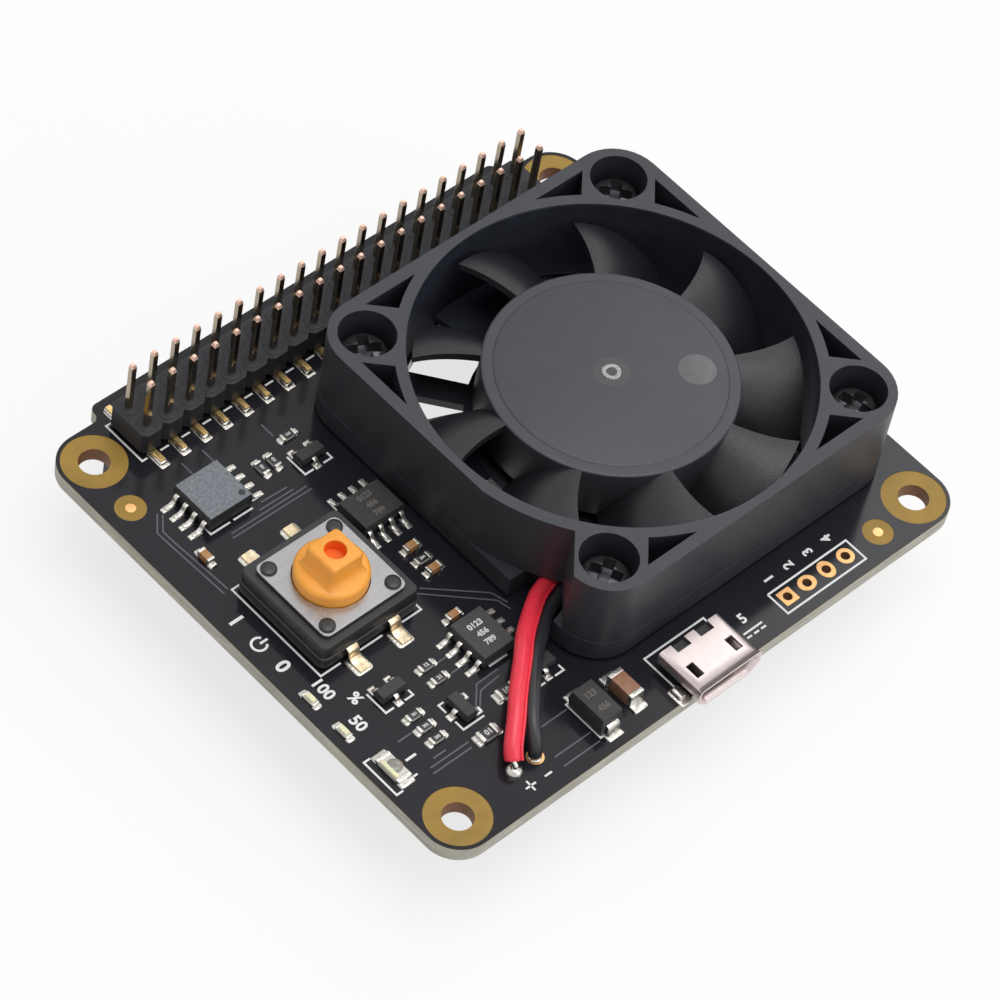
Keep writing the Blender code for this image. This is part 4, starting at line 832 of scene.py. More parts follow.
# Height at which a thin layer starts above the face that carries it
FILM = 0.002
PITCH = 2.54
COLUMNS = 20
HEADER_Y = float(Box.of("pin_header").centre[1])
COLUMN_X = (np.arange(COLUMNS) - (COLUMNS - 1) / 2) * PITCH
HOLE_INSET = 3.5
FAN_CENTRE = ROTOR.centre[:2]
CORNERS = tuple((sx, sy) for sx in (-1, 1) for sy in (-1, 1))
FAN_HOLE_OFFSET = 16.0
FAN_HOLES = [FAN_CENTRE + np.array(corner) * FAN_HOLE_OFFSET for corner in CORNERS]
PLUS_HOLE = np.array([-21.9, -24.1])
MINUS_HOLE = PLUS_HOLE + (PITCH, 0.0)
AUX_FIRST = np.array([11.25, -25.4])
AUX_HOLES = [AUX_FIRST + (PITCH * i, 0.0) for i in range(4)]


@dataclass
class Studio:
    """Floor, light and camera."""

    lens: float = 166.82
    sensor: float = 36.0
    eye: tuple[float, float, float] = (-0.213002, -0.163042, 0.340252)
    right: tuple[float, float, float] = (0.72483, -0.67630, 0.13133)
    up: tuple[float, float, float] = (0.47653, 0.62984, 0.61336)
    back: tuple[float, float, float] = (-0.49753, -0.38200, 0.77881)
    floor_span: float = 3.0
    floor_tone: float = 0.97
    floor_white: float = 0.75
    sky: float = 0.36
    lamps: tuple[tuple[str, tuple[float, float, float], float, float], ...] = (
        ("key_softbox", (0.05, -0.12, 0.95), 0.7, 5.1),
        ("side_softbox", (0.47, 0.14, 0.46), 0.28, 0.45),
        ("front_softbox", (0.2, -0.6, 0.35), 0.4, 1.0),
    )

    def camera(self) -> None:
        """The camera at the photograph's place, with its axes as columns of its matrix."""
        data = bpy.data.cameras.new("camera")
        data.lens = self.lens
        data.sensor_width = self.sensor
        data.clip_start = 0.01
        eye = linked("camera", data)
        axes = Matrix((self.right, self.up, self.back)).transposed().to_4x4()
        eye.matrix_world = Matrix.Translation(self.eye) @ axes
        bpy.context.scene.camera = eye

    def lamp(self, name: str, place: Sequence[float], size: float, power: float) -> None:
        """A square softbox that faces the middle of the board.

        Args:
            name: Its name.
            place: Its place in metres.
            size: Its side in metres.
            power: Its power in watts.
        """
        data = bpy.data.lights.new(name, "AREA")
        data.size = size
        data.energy = power
        lamp = linked(name, data)
        lamp.location = place
        lamp.rotation_euler = (-Vector(place)).to_track_quat("-Z", "Y").to_euler()

    def seen(self, tree: bpy.types.NodeTree, others: float, direct: float) -> bpy.types.NodeSocket:
        """A value for rays of the camera, gloss and glass, and another for all other rays.

        Args:
            tree: The nodes that take it in.
            others: The value for other rays.
            direct: The value for the camera, gloss and glass.

        Returns:
            The socket that gives the value.
        """
        path = tree.nodes.new("ShaderNodeLightPath")
        found = path.outputs["Is Camera Ray"]
        for kind in ("Is Glossy Ray", "Is Transmission Ray"):
            either = tree.nodes.new("ShaderNodeMath")
            either.operation = "MAXIMUM"
            tree.links.new(found, either.inputs[0])
            tree.links.new(path.outputs[kind], either.inputs[1])
            found = either.outputs[0]
        level = tree.nodes.new("ShaderNodeMapRange")
        level.inputs["To Min"].default_value = others
        level.inputs["To Max"].default_value = direct
        tree.links.new(found, level.inputs["Value"])
        return level.outputs["Result"]

    def floor(self) -> None:
        """A pale floor at the socket's face. A share of what the camera sees of it is plain white."""
        half = self.floor_span / 2
        mesh = bpy.data.meshes.new("floor")
        corners = [(-half, -half, 0), (half, -half, 0), (half, half, 0), (-half, half, 0)]
        mesh.from_pydata(corners, [], [(0, 1, 2, 3)])
        floor = linked("floor", mesh)
        material = bpy.data.materials.new("studio_floor")
        material.use_nodes = True
        tree = material.node_tree
        shader = tree.nodes["Principled BSDF"]
        shader.inputs["Base Color"].default_value = (*[self.floor_tone] * 3, 1)
        shader.inputs["Roughness"].default_value = 0.9
        shader.inputs["Specular IOR Level"].default_value = 0.0
        white = tree.nodes.new("ShaderNodeEmission")
        both = tree.nodes.new("ShaderNodeMixShader")
        tree.links.new(self.seen(tree, 0.0, self.floor_white), both.inputs["Fac"])
        tree.links.new(shader.outputs["BSDF"], both.inputs[1])
        tree.links.new(white.outputs["Emission"], both.inputs[2])
        tree.links.new(both.outputs["Shader"], tree.nodes["Material Output"].inputs["Surface"])
        mesh.materials.append(material)

    def world(self) -> None:
        """A white surround for the camera, gloss and glass, and an even sky for all else."""
        world = bpy.data.worlds.new("surround")
        bpy.context.scene.world = world
        world.use_nodes = True
        tree = world.node_tree
        tree.nodes.clear()
        sky = tree.nodes.new("ShaderNodeBackground")
        sky.inputs["Color"].default_value = (1, 1, 1, 1)
        tree.links.new(self.seen(tree, self.sky, 1.0), sky.inputs["Strength"])
        out = tree.nodes.new("ShaderNodeOutputWorld")
        tree.links.new(sky.outputs["Background"], out.inputs["Surface"])

    def build(self) -> None:
        """Sets up the whole studio."""
        self.camera()
        self.floor()
        self.world()
        for name, place, size, power in self.lamps:
            self.lamp(name, place, size, power)
        bpy.context.scene.view_settings.view_transform = "Standard"


@dataclass
class CircuitBoard:
    """The board: laminate core, lacquer on both faces, bare rings, traces, print and bare pads."""

    corner: float = 3.5
    bump: float = 1.65
    bump_half: float = 25.4
    skin: float = 0.045
    hole: float = 1.5
    ring: float = 3.12
    window: float = 18.8
    screw_hole: float = 1.6
    wire_hole: float = 0.55
    aux_hole: float = 0.475
    lining: float = 0.03
    tuck: float = 0.01
    clear: float = 1.5
    dot: float = 0.5
    pad_square: float = 1.62
    pad_round: float = 0.88
    pad_bore: float = 0.47
    pad_top: float = 0.03
    pad_stretch: tuple[tuple[float, float], ...] = ((1.0, 1.0), (1.12, 0.95), (0.95, 1.12), (1.0, 1.0))
    fiducials: tuple[tuple[float, float], ...] = ((-29.8, 18.45), (23.35, -25.3))

    @property
    def half(self) -> tuple[float, float]:
        """Half the board's length and width, without the bump behind the header."""
        return float(BOARD.size[0]) / 2, -float(BOARD.low[1])

    def outline(self) -> Array:
        """The board's edge: round corners, and two small bends on each side of the bump.

        Returns:
            Points in plan.
        """
        x, y = self.half[0] - self.corner, self.half[1] - self.corner
        bend, edge = self.bump / 2, self.half[1]
        right = np.concatenate([
            arc((x, -y), self.corner, -90, 0, 12),
            arc((x, y), self.corner, 0, 90, 12),
            arc((self.bump_half + bend, edge + bend), bend, 270, 180, 6),
            arc((self.bump_half - bend, edge + bend), bend, 0, 90, 6)[1:],
        ])
        return np.concatenate([right, right[::-1] * (-1, 1)])

    def mounts(self) -> list[Array]:
        """Middles of the corner holes."""
        reach = np.array(self.half) - HOLE_INSET
        return [reach * corner for corner in CORNERS]

    def plate(self) -> None:
        """The core between two lacquer skins that leave the rings and fiducials bare."""
        piece = Piece("board_plate")
        edge = self.outline()
        through = [circle(self.window, 128, FAN_CENTRE)]
        through += [circle(self.screw_hole, 32, c) for c in FAN_HOLES]
        through += [circle(self.wire_hole, 20, c) for c in (PLUS_HOLE, MINUS_HOLE)]
        through += [circle(self.aux_hole, 20, c) for c in AUX_HOLES]
        drilled = [circle(self.hole, 40, c) for c in self.mounts()]
        low, high = BOARD.bottom + self.skin, DECK - self.skin
        piece.plate([edge, *through, *drilled], low, high, BARE_LAMINATE, LAMINATE_EDGE)
        bare = [circle(self.ring, 64, c) for c in self.mounts()]
        dots = [circle(self.clear, 40, c) for c in self.fiducials]
        lacquered = drawn_in(edge, 0.02)
        piece.plate([lacquered, *through, *bare, *dots], high, DECK, LACQUER)
        piece.plate([lacquered, *through, *bare], BOARD.bottom + 0.005, low, LACQUER)
        piece.place(Body.BOARD, "lacquer", "board")
        walls = Piece("mounting_hole_walls")
        outer, inner, ease = self.hole + self.tuck, self.hole - self.lining, 0.05
        lined = [(outer, low), (outer, high), (inner, high - ease), (inner, low + ease)]
        for c in self.mounts():
            walls.wall(turned(lined, 40, c), HOLE_WALL)
        outer, inner = self.window + self.tuck, self.window - self.lining
        rim = [(outer, low), (outer, high), (inner, high), (inner, low)]
        walls.wall(turned(rim, 128, FAN_CENTRE), LACQUER)
        walls.place(Body.BOARD, "lacquer")

    def dots(self) -> None:
        """The copper dots of the fiducials and the gold pads of the four spare holes."""
        piece = Piece("gold_pads")
        low = DECK - self.skin
        copper = [(0, low), (0, low + 0.03), (0.05, low + 0.036)]
        for c in self.fiducials:
            piece.loft(stacked(circle(self.dot, 28, c), copper), GOLD_PAD)
        outer, inner = self.pad_bore, self.pad_bore - self.lining
        low, high = BOARD.bottom, DECK + 0.02
        bore = [(outer, high), (outer, low), (inner, low), (inner, high)]
        for i, (c, stretch) in enumerate(zip(AUX_HOLES, self.pad_stretch)):
            square = rounded(self.pad_square, self.pad_square, 0.05, 2, c)
            pad = square if i == 0 else circle(self.pad_round, 24, c)
            hole = circle(self.pad_bore, 24, c)
            piece.plate([(pad - c) * stretch + c, hole], DECK + FILM, DECK + self.pad_top, GOLD_PAD)
            piece.wall(turned(bore, 24, c), HOLE_WALL)
        piece.place(Body.BOARD, "brass")

    def build(self) -> None:
        """Builds and dresses the board."""
        self.plate()
        self.dots()


@dataclass
class PinHeader:
    """The two-row pin header: a block of chamfered cells, forty bent pins and their solder."""

    notch: float = 0.5
    stand: float = 0.65
    top: float = 3.1
    pin: float = 0.58
    tip: float = 9.05
    reach: float = 3.95
    pad_width: float = 1.08
    pad_front: float = 2.25
    pad_rear: float = 1.8
    pad_inner: float = 2.2
    seat: float = 1.02
    solder_size: tuple[float, float] = (0.92, 1.3)

    def outline(self) -> Array:
        """The block in plan: each cell has its outer corners cut off.

        Returns:
            Points in plan.
        """
        x = COLUMN_X[:, None] + np.array([-PITCH / 2, -PITCH / 2 + self.notch, PITCH / 2 - self.notch])
        y = np.broadcast_to([self.notch - PITCH, -PITCH, -PITCH], x.shape)
        front = np.stack([x.ravel(), y.ravel()], -1)
        front = np.concatenate([front, [[COLUMNS * PITCH / 2, self.notch - PITCH]]])
        return np.concatenate([front, -front]) + (0, HEADER_Y)

    def block(self) -> None:
        """The moulded block with a low octagon round each pin."""
        piece = Piece("header_block")
        levels = [(0.06, DECK + self.stand), (0, DECK + self.stand + 0.06)]
        levels += eased(DECK + self.stand + 0.06, DECK + self.top, 0.1)[1:]
        piece.loft(stacked(self.outline(), levels), HEADER_BLACK)
        z = DECK + self.top
        rim = [(0, z - 0.02), (0, z + 0.03), (0.05, z + 0.05)]
        for x in COLUMN_X:
            for side in (-1, 1):
                seat = circle(self.seat, 8, (x, HEADER_Y + side * PITCH / 2))
                piece.loft(stacked(seat, rim), HEADER_BLACK)
        piece.place(Body.BOARD, "black_plastic", "pin_header")

    def pins(self) -> None:
        """The bent pins: a square section carried along the foot, round the bend and up to a blunt tip."""
        piece = Piece("header_pins")
        foot = self.reach - PITCH / 2
        half = self.pin / 2
        path = softened([(0, foot, half - 0.06), (0, 0.5, half - 0.06), (0, 0, half), (0, 0, 0.8)], 2)
        rise = [(0, 0, z) for z in (2.0, 5.0, self.tip - 0.36, self.tip - 0.35, self.tip)]
        path = np.concatenate([path, np.array(rise, float)])
        scale = np.ones(len(path))
        scale[-1] = 0.6
        section = rounded(self.pin, self.pin, 0.05, 1)
        rings = swept(path + (0, 0, 0.02), section, (1, 0, 0), scale)
        # The feet and tips take brighter copies of the pin gold, painted highlights; the riser keeps the
        # plain pin gold.
        parts = ((rings[:-5], FOOT_GOLD_HIGHLIGHT), (rings[-6:-1], PIN_GOLD), (rings[-2:], PIN_TIP_HIGHLIGHT))
        for x in COLUMN_X:
            for part, finish in parts:
                piece.loft(moved(part, (x, HEADER_Y + PITCH / 2, DECK)), finish)
                piece.loft(moved(part, (x, HEADER_Y - PITCH / 2, DECK), 180), finish)
        piece.place(Body.BOARD, "brass")

    def solder(self) -> None:
        """The tinned pads and the solder that climbs each foot."""
        piece = Piece("header_solder")
        crown = dome(DECK + 0.03, 0.3, 0.22)
        for x in COLUMN_X:
            for side, length in ((-1, self.pad_front), (1, self.pad_rear)):
                y = HEADER_Y + side * (self.pad_inner + length / 2)
                solder_pad(piece, (x, y), self.pad_width, length)
                foot = (x, HEADER_Y + side * (self.reach - 0.45))
                piece.loft(bar(*self.solder_size, 0.25, crown, foot), SOLDER)
        piece.place(Body.BOARD, "nickel")

    def build(self) -> None:
        """Builds and dresses the header."""
        self.block()
        self.pins()
        self.solder()


def dome(bottom: float, rise: float, inset: float, steps: int = 4) -> list[tuple[float, float]]:
    """Levels of a solder dome: a quarter of an ellipse from its foot to its crown.

    Args:
        bottom: Height of its foot.
        rise: Height of its crown above the foot.
        inset: How far the crown is drawn in.
        steps: Chords of the ellipse.

    Returns:
        Pairs of inset and height for stacked.
    """
    angle = np.radians(np.linspace(0, 90, steps + 1))
    return [
        (float(d), float(z)) for d, z in zip(inset * (1 - np.cos(angle)), bottom + rise * np.sin(angle))
    ]


def solder_pad(piece: Piece, centre: Sequence[float], length: float, width: float, rise: float = 0.06,
               finish: Finish = TIN) -> None:
    """Adds a tinned pad: a rounded rectangle with a slightly domed top.

    Args:
        piece: The piece that takes it in.
        centre: Its middle in plan.
        length: Side along X.
        width: Side along Y.
        rise: Height of its crown above the board.
        finish: Its finish.
    """
    small = min(length, width)
    piece.loft(bar(length, width, 0.16 * small, dome(DECK + 0.004, rise, 0.2 * small), centre), finish)


@dataclass
class FanFrame:
    """The fan's square frame: flange, duct wall, screw bosses, corner pockets, base and struts."""

    size: float = 39.9
    foot_size: float = 40.0
    corner: float = 4.6
    duct: float = 19.1
    depth: float = 10.0
    flange: float = 2.35
    seat: float = 6.0
    head_pocket: float = 2.75
    hole: float = 1.6
    rim: float = 1.25
    web: float = 1.1
    boss_half: float = 3.46
    base: float = 12.7
    base_top: float = 1.1
    strut: float = 2.6
    strut_turns: tuple[float, ...] = (38.0, 128.0, 218.0, 308.0)
    strut_tip: float = 4.0
    tube: float = 2.5
    tube_bore: float = 1.75
    tube_top: float = 6.4
    bridges: tuple[tuple[float, float], ...] = ((72.0, 101.0), (148.0, 172.0))
    exit_wall: float = 1.2
    exit_flat: float = 3.1
    channel: tuple[tuple[float, float], ...] = ((-21, -14.8), (-14.4, -13.1), (-14.4, -8.9), (-21, -8.9))

    @property
    def foot(self) -> float:
        """Height of the frame's foot."""
        return FAN.bottom

    def outline(self) -> Array:
        """The upper body in plan: round corners, and the open corner above the leads.

        That corner follows the duct's wall from the frame's side to the boss's flat at 45 degrees.

        Returns:
            Points in plan.
        """
        half, reach = self.size / 2, self.duct + self.exit_wall
        apart = self.exit_flat * math.sqrt(2)
        meeting = -(apart + math.sqrt(2 * reach**2 - apart**2)) / 2
        start = math.degrees(math.atan2(-math.sqrt(reach**2 - half**2), -half))
        end = math.degrees(math.atan2(meeting + apart, meeting))
        corners = rounded(self.size, self.size, self.corner, 10).reshape(4, -1, 2)
        wall = arc((0, 0), reach, start, end, 12)
        flat = np.array([[0.005 - half, apart - half]])
        parts = [corners[0], corners[1], wall, flat, corners[2][1:], corners[3]]
        return np.concatenate(parts) + FAN_CENTRE

    def pocket(self) -> Array:
        """The three-sided pocket beside a boss: along the boss's web at 45 degrees, the duct and the wall.

        Returns:
            Points in plan about the fan's axis.
        """
        wall, duct = self.size / 2 - self.rim, self.duct + self.web
        shift = self.boss_half * math.sqrt(2)
        meeting = (math.sqrt(2 * duct**2 - shift**2) - shift) / 2
        start = math.degrees(math.atan2(meeting + shift, -meeting))
        end = math.degrees(math.atan2(wall, -math.sqrt(duct**2 - wall**2)))
        return np.concatenate([[[shift - wall, wall]], arc((0, 0), duct, start, end, 8)])

    def pockets(self) -> list[Array]:
        """The pockets on both sides of each boss, but for the one where the leads come out.

        Returns:
            The outline of each pocket in plan.
        """
        shape = self.pocket()
        found = []
        for sx, sy in CORNERS:
            found.append(shape * (sx, sy) + FAN_CENTRE)
            if (sx, sy) != (1, -1):
                found.append(shape[:, ::-1] * (sy, sx) + FAN_CENTRE)
        return found

    def build(self) -> None:
        """Builds and dresses the frame."""
        piece = Piece("fan_housing")
        foot, top = self.foot, self.foot + self.depth
        duct = circle(self.duct, 128, FAN_CENTRE)
        heads = [circle(self.head_pocket, 40, c) for c in FAN_HOLES]
        holes = [circle(self.hole, 32, c) for c in FAN_HOLES]
        split = foot + self.flange
        piece.plate([self.outline(), duct, *heads, *self.pockets()], split, top, FAN_BLACK)
        outer, low, seat = self.head_pocket + 0.05, split + 0.1, foot + self.seat
        sleeve = [(outer, low), (outer, seat), (self.hole, seat), (self.hole, low)]
        for c in FAN_HOLES:
            piece.wall(turned(sleeve, 40, c), FAN_BLACK)
        piece.place(Body.BOARD, "fan_plastic", "fan_frame", edge=0.14)
        # A thin sheet over the duct's wall in the darker duct finish: painted shade on the inner wall.
        shade_liner = Piece("fan_duct_shade_sheet")
        outer, inner = self.duct + 0.05, self.duct - 0.02
        skin = [(outer, foot + 0.1), (outer, top - 0.25), (inner, top - 0.25), (inner, foot + 0.1)]
        shade_liner.wall(turned(skin, 128, FAN_CENTRE), DUCT_PAINTED_SHADE)
        shade_liner.place(Body.BOARD, "fan_plastic")
        flange = Piece("fan_flange")
        outer = rounded(self.foot_size, self.foot_size, self.corner, 10, FAN_CENTRE)
        flange.plate([outer, duct, *holes], foot, split - 0.01, FAN_BLACK)
        made = flange.place(Body.BOARD, "fan_plastic", edge=0.04)
        cut(made, *prism(np.array(self.channel) + FAN_CENTRE, foot - 1, split + 1))
        self.spider()

    def spider(self) -> None:
        """The base plate, its struts, two wider bridges and the bearing tube, seen through the duct."""
        piece = Piece("fan_base")
        low, high = self.foot + 0.2, self.foot + self.base_top
        points = []
        share = math.degrees(math.asin(self.strut / 2 / self.base))
        reach = self.duct + 0.3
        for turn in self.strut_turns:
            tip = arc((0, 0), reach, turn - self.strut_tip, turn + self.strut_tip, 2)
            points += [tip, arc((0, 0), self.base, turn + share, turn + 90 - share, 14)]
        piece.plate([np.concatenate(points) + FAN_CENTRE], low, high, FAN_BLACK)
        # The bridges take the darker duct finish: painted shade between the struts.
        for start, end in self.bridges:
            ends = arc((0, 0), reach, start, end), arc((0, 0), self.base - 1, end, start)
            piece.plate([np.concatenate(ends) + FAN_CENTRE], low + 0.05, high - 0.1, DUCT_PAINTED_SHADE)
        root, end = high - 0.2, self.foot + self.tube_top
        tube = [(self.tube, root), (self.tube, end), (self.tube_bore, end), (self.tube_bore, root)]
        piece.wall(turned(tube, 40, FAN_CENTRE), FAN_BLACK)
        piece.place(Body.BOARD, "fan_plastic", edge=0.12)


@dataclass
class FanRotor:
    """The rotor: a cup-shaped hub with its moulding marks, and nine swept blades."""

    blades: int = 9
    radius: float = 12.1
    edge: float = 1.2
    top: float = 8.5
    skirt: float = 2.6
    wall: float = 0.9
    tip: float = 18.3
    first: float = 93.5
    turn: float = 29.0
    lead: float = 4.0
    high: float = 7.9
    low: float = 2.5
    thick: float = 0.85
    shoulder: float = 0.22
    mark: float = 1.8
    mark_at: tuple[float, float] = (6.6, -4.6)
    halo: float = 1.75
    gate: float = 0.78
    gate_points: int = 96

    @property
    def foot(self) -> float:
        """Height from which the fan's own heights are measured."""
        return FAN.bottom

    def hub(self, piece: Piece) -> None:
        """The hub turned from its profile, with a step ring, a gate mark and a round mark on top.

        The gate mark is a ring whose radius wavers by a sum of three small sines.

        Args:
            piece: The piece that takes it in.
        """
        r, flat = self.radius, self.radius - self.edge
        z = self.foot + self.top
        crown = [(0.02, 0.0), (flat - 0.1, 0.0), (flat, -0.03), (flat + 0.1, -0.12), (r - 0.35, -0.14)]
        angle = np.radians(np.linspace(90, 0, 5))
        bend = self.shoulder
        shoulder = list(zip(r - bend + bend * np.cos(angle), -0.37 + bend * np.sin(angle)))
        profile = [(a, self.top + b) for a, b in crown + shoulder]
        inside, roof = r - self.wall, self.top - self.wall
        profile += [(r, self.skirt + 0.1), (r - 0.1, self.skirt), (inside, self.skirt), (inside, roof)]
        profile += [(2.05, roof), (2.05, 6.7), (1.15, 6.7), (1.15, 7.9), (0.02, 7.9)]
        piece.loft(turned(profile, 96, FAN_CENTRE) + (0, 0, self.foot), ROTOR_BLACK)
        disc = circle(self.mark, 48, FAN_CENTRE + self.mark_at)
        piece.loft(stacked(disc, [(0, z - 0.05), (0, z + 0.004), (0.05, z + 0.014)]), HUB_MARK)
        halo = circle(self.halo, 48, FAN_CENTRE)
        piece.loft(stacked(halo, [(0, z - 0.05), (0, z + FILM), (0.3, z + 0.01)]), GATE_HALO)
        around = circle(1.0, self.gate_points)
        turn = np.linspace(0, 2 * np.pi, self.gate_points, endpoint=False)[:, None]
        waver = 0.03 * np.sin(3 * turn + 1) + 0.03 * np.sin(17 * turn) + 0.015 * np.sin(31 * turn)
        outline = around * (self.gate + waver)
        levels = ((0.62, -0.02), (0.7, 0.05), (0.92, 0.07), (1.12, 0.05), (1.2, -0.02))
        ring = [ring_at(outline * share + FAN_CENTRE, z + rise) for share, rise in levels]
        piece.wall(np.stack(ring), GATE_MARK)

    def blade(self) -> Array:
        """One blade about the axis: a thin closed section carried from the hub to the tip.

        At share s of the span and u of the chord the middle line stands at the angle lead s^2 - turn u
        and at the height high + (low - high) u^2, so it leaves its leading edge nearly level and ends
        steep. The section is that line thickened along its own normal, thinner towards its trailing edge
        and its tip.

        Returns:
            Rings of shape (span, section, 3).
        """
        s = np.linspace(0, 1, 9)[:, None]
        u = np.linspace(0, 1, 17)[None]
        r = self.radius - 0.4 + (self.tip - self.radius + 0.4) * s
        turn = np.radians(self.first + self.lead * s**2 - self.turn * u)
        z = self.high + (self.low - self.high) * u**2 + 0 * s
        run = np.gradient(r * turn, axis=1)
        fall = np.gradient(z, axis=1)
        size = np.hypot(run, fall)
        half = self.thick / 2 * (1 - 0.5 * u) * (1 - 0.2 * s)
        across, up = half * fall / size, -half * run / size
        sides = [(turn + k * across / r, z + k * up) for k in (1, -1)]
        angle = np.concatenate([sides[0][0], sides[1][0][:, ::-1]], 1)
        height = np.concatenate([sides[0][1], sides[1][1][:, ::-1]], 1)
        return np.stack([r * np.cos(angle), r * np.sin(angle), height], -1)

    def build(self) -> None:
        """Builds and dresses the rotor."""
        piece = Piece("rotor_moulding")
        self.hub(piece)
        shape = self.blade()
        for i in range(self.blades):
            piece.loft(moved(shape, (*FAN_CENTRE, self.foot), -360 / self.blades * i), BLADE_BLACK)
        piece.place(Body.ROTOR, "fan_plastic", "fan_rotor")


@dataclass
class FanFixings:
    """The four cross-recessed screws of the fan and the nuts under the board."""

    head: float = 2.4
    head_height: float = 1.8
    shank: float = 1.2
    flats: float = 5.0
    arm: float = 1.75
    arm_half: float = 0.6
    recess: float = 1.15
    bore: float = 1.25
    side_chords: int = 8
    turns: tuple[float, ...] = (28.0, 62.0, 12.0, 40.0)

    def cross(self, centre: Sequence[float], turn: float) -> Array:
        """The recess in plan: a plus sign of twelve corners.

        Args:
            centre: Its middle.
            turn: Degrees about Z.

        Returns:
            Points in plan.
        """
        a, b = self.arm, self.arm_half
        quarter = np.array([[a, -b], [a, b], [b, b]])
        angle = math.radians(turn)
        c, s = math.cos(angle), math.sin(angle)
        first = quarter @ np.array([[c, s], [-s, c]])
        back = np.array([[0, 1], [-1, 0]])
        parts = [first, first @ back, first @ back @ back, first @ back @ back @ back]
        return np.concatenate(parts) + centre[:2]

    def screw(self, index: int) -> None:
        """One screw turned from its profile, with its recess cut in.

        Args:
            index: The screw's number.
        """
        node = f"fan_screw_{index}"
        box = Box.of(node)
        low, top = box.bottom, box.top
        seat, head = top - self.head_height, self.head
        profile = [
            (POLE, top - 0.02), (1.0, top - 0.03), (1.7, top - 0.14), (2.1, top - 0.42), (2.32, top - 0.8),
            (head, top - 1.25), (head, seat + 0.08), (head - 0.08, seat), (self.shank, seat),
            (self.shank, low + 0.3), (self.shank - 0.3, low), (POLE, low)
        ]
        piece = Piece(f"fan_screw_{index}_dressed")
        piece.loft(turned(profile, 48, box.centre), SCREW_BLACK)
        made = piece.place(Body.BOARD, "black_steel", node)
        recess = self.cross(box.centre, self.turns[index - 1])
        cut(made, *prism(recess, top - self.recess, top + 0.3, 0.72))

    def nut(self, index: int) -> None:
        """One nut: a hexagon with chamfered ends round its bore.

        Args:
            index: The nut's number.
        """
        node = f"fan_nut_{index}"
        box = Box.of(node)
        corners = circle(self.flats / math.sqrt(3), 6)
        share = np.arange(self.side_chords)[None, :, None] / self.side_chords
        sides = corners[:, None] * (1 - share) + np.roll(corners, -1, 0)[:, None] * share
        outline = sides.reshape(-1, 2) + box.centre[:2]
        low, high = box.bottom, box.top
        outer = stacked(outline, [(0.3, low), (0.02, low + 0.25), (0.02, high - 0.25), (0.3, high)])
        inner = turned([(self.bore, high), (self.bore, low)], len(outline), box.centre)
        piece = Piece(f"fan_nut_{index}_dressed")
        piece.wall(np.concatenate([outer, inner]), STEEL)
        piece.place(Body.BOARD, "steel", node)

    def build(self) -> None:
        """Builds and dresses the screws and nuts."""
        for index in range(1, 5):
            self.screw(index)
            self.nut(index)


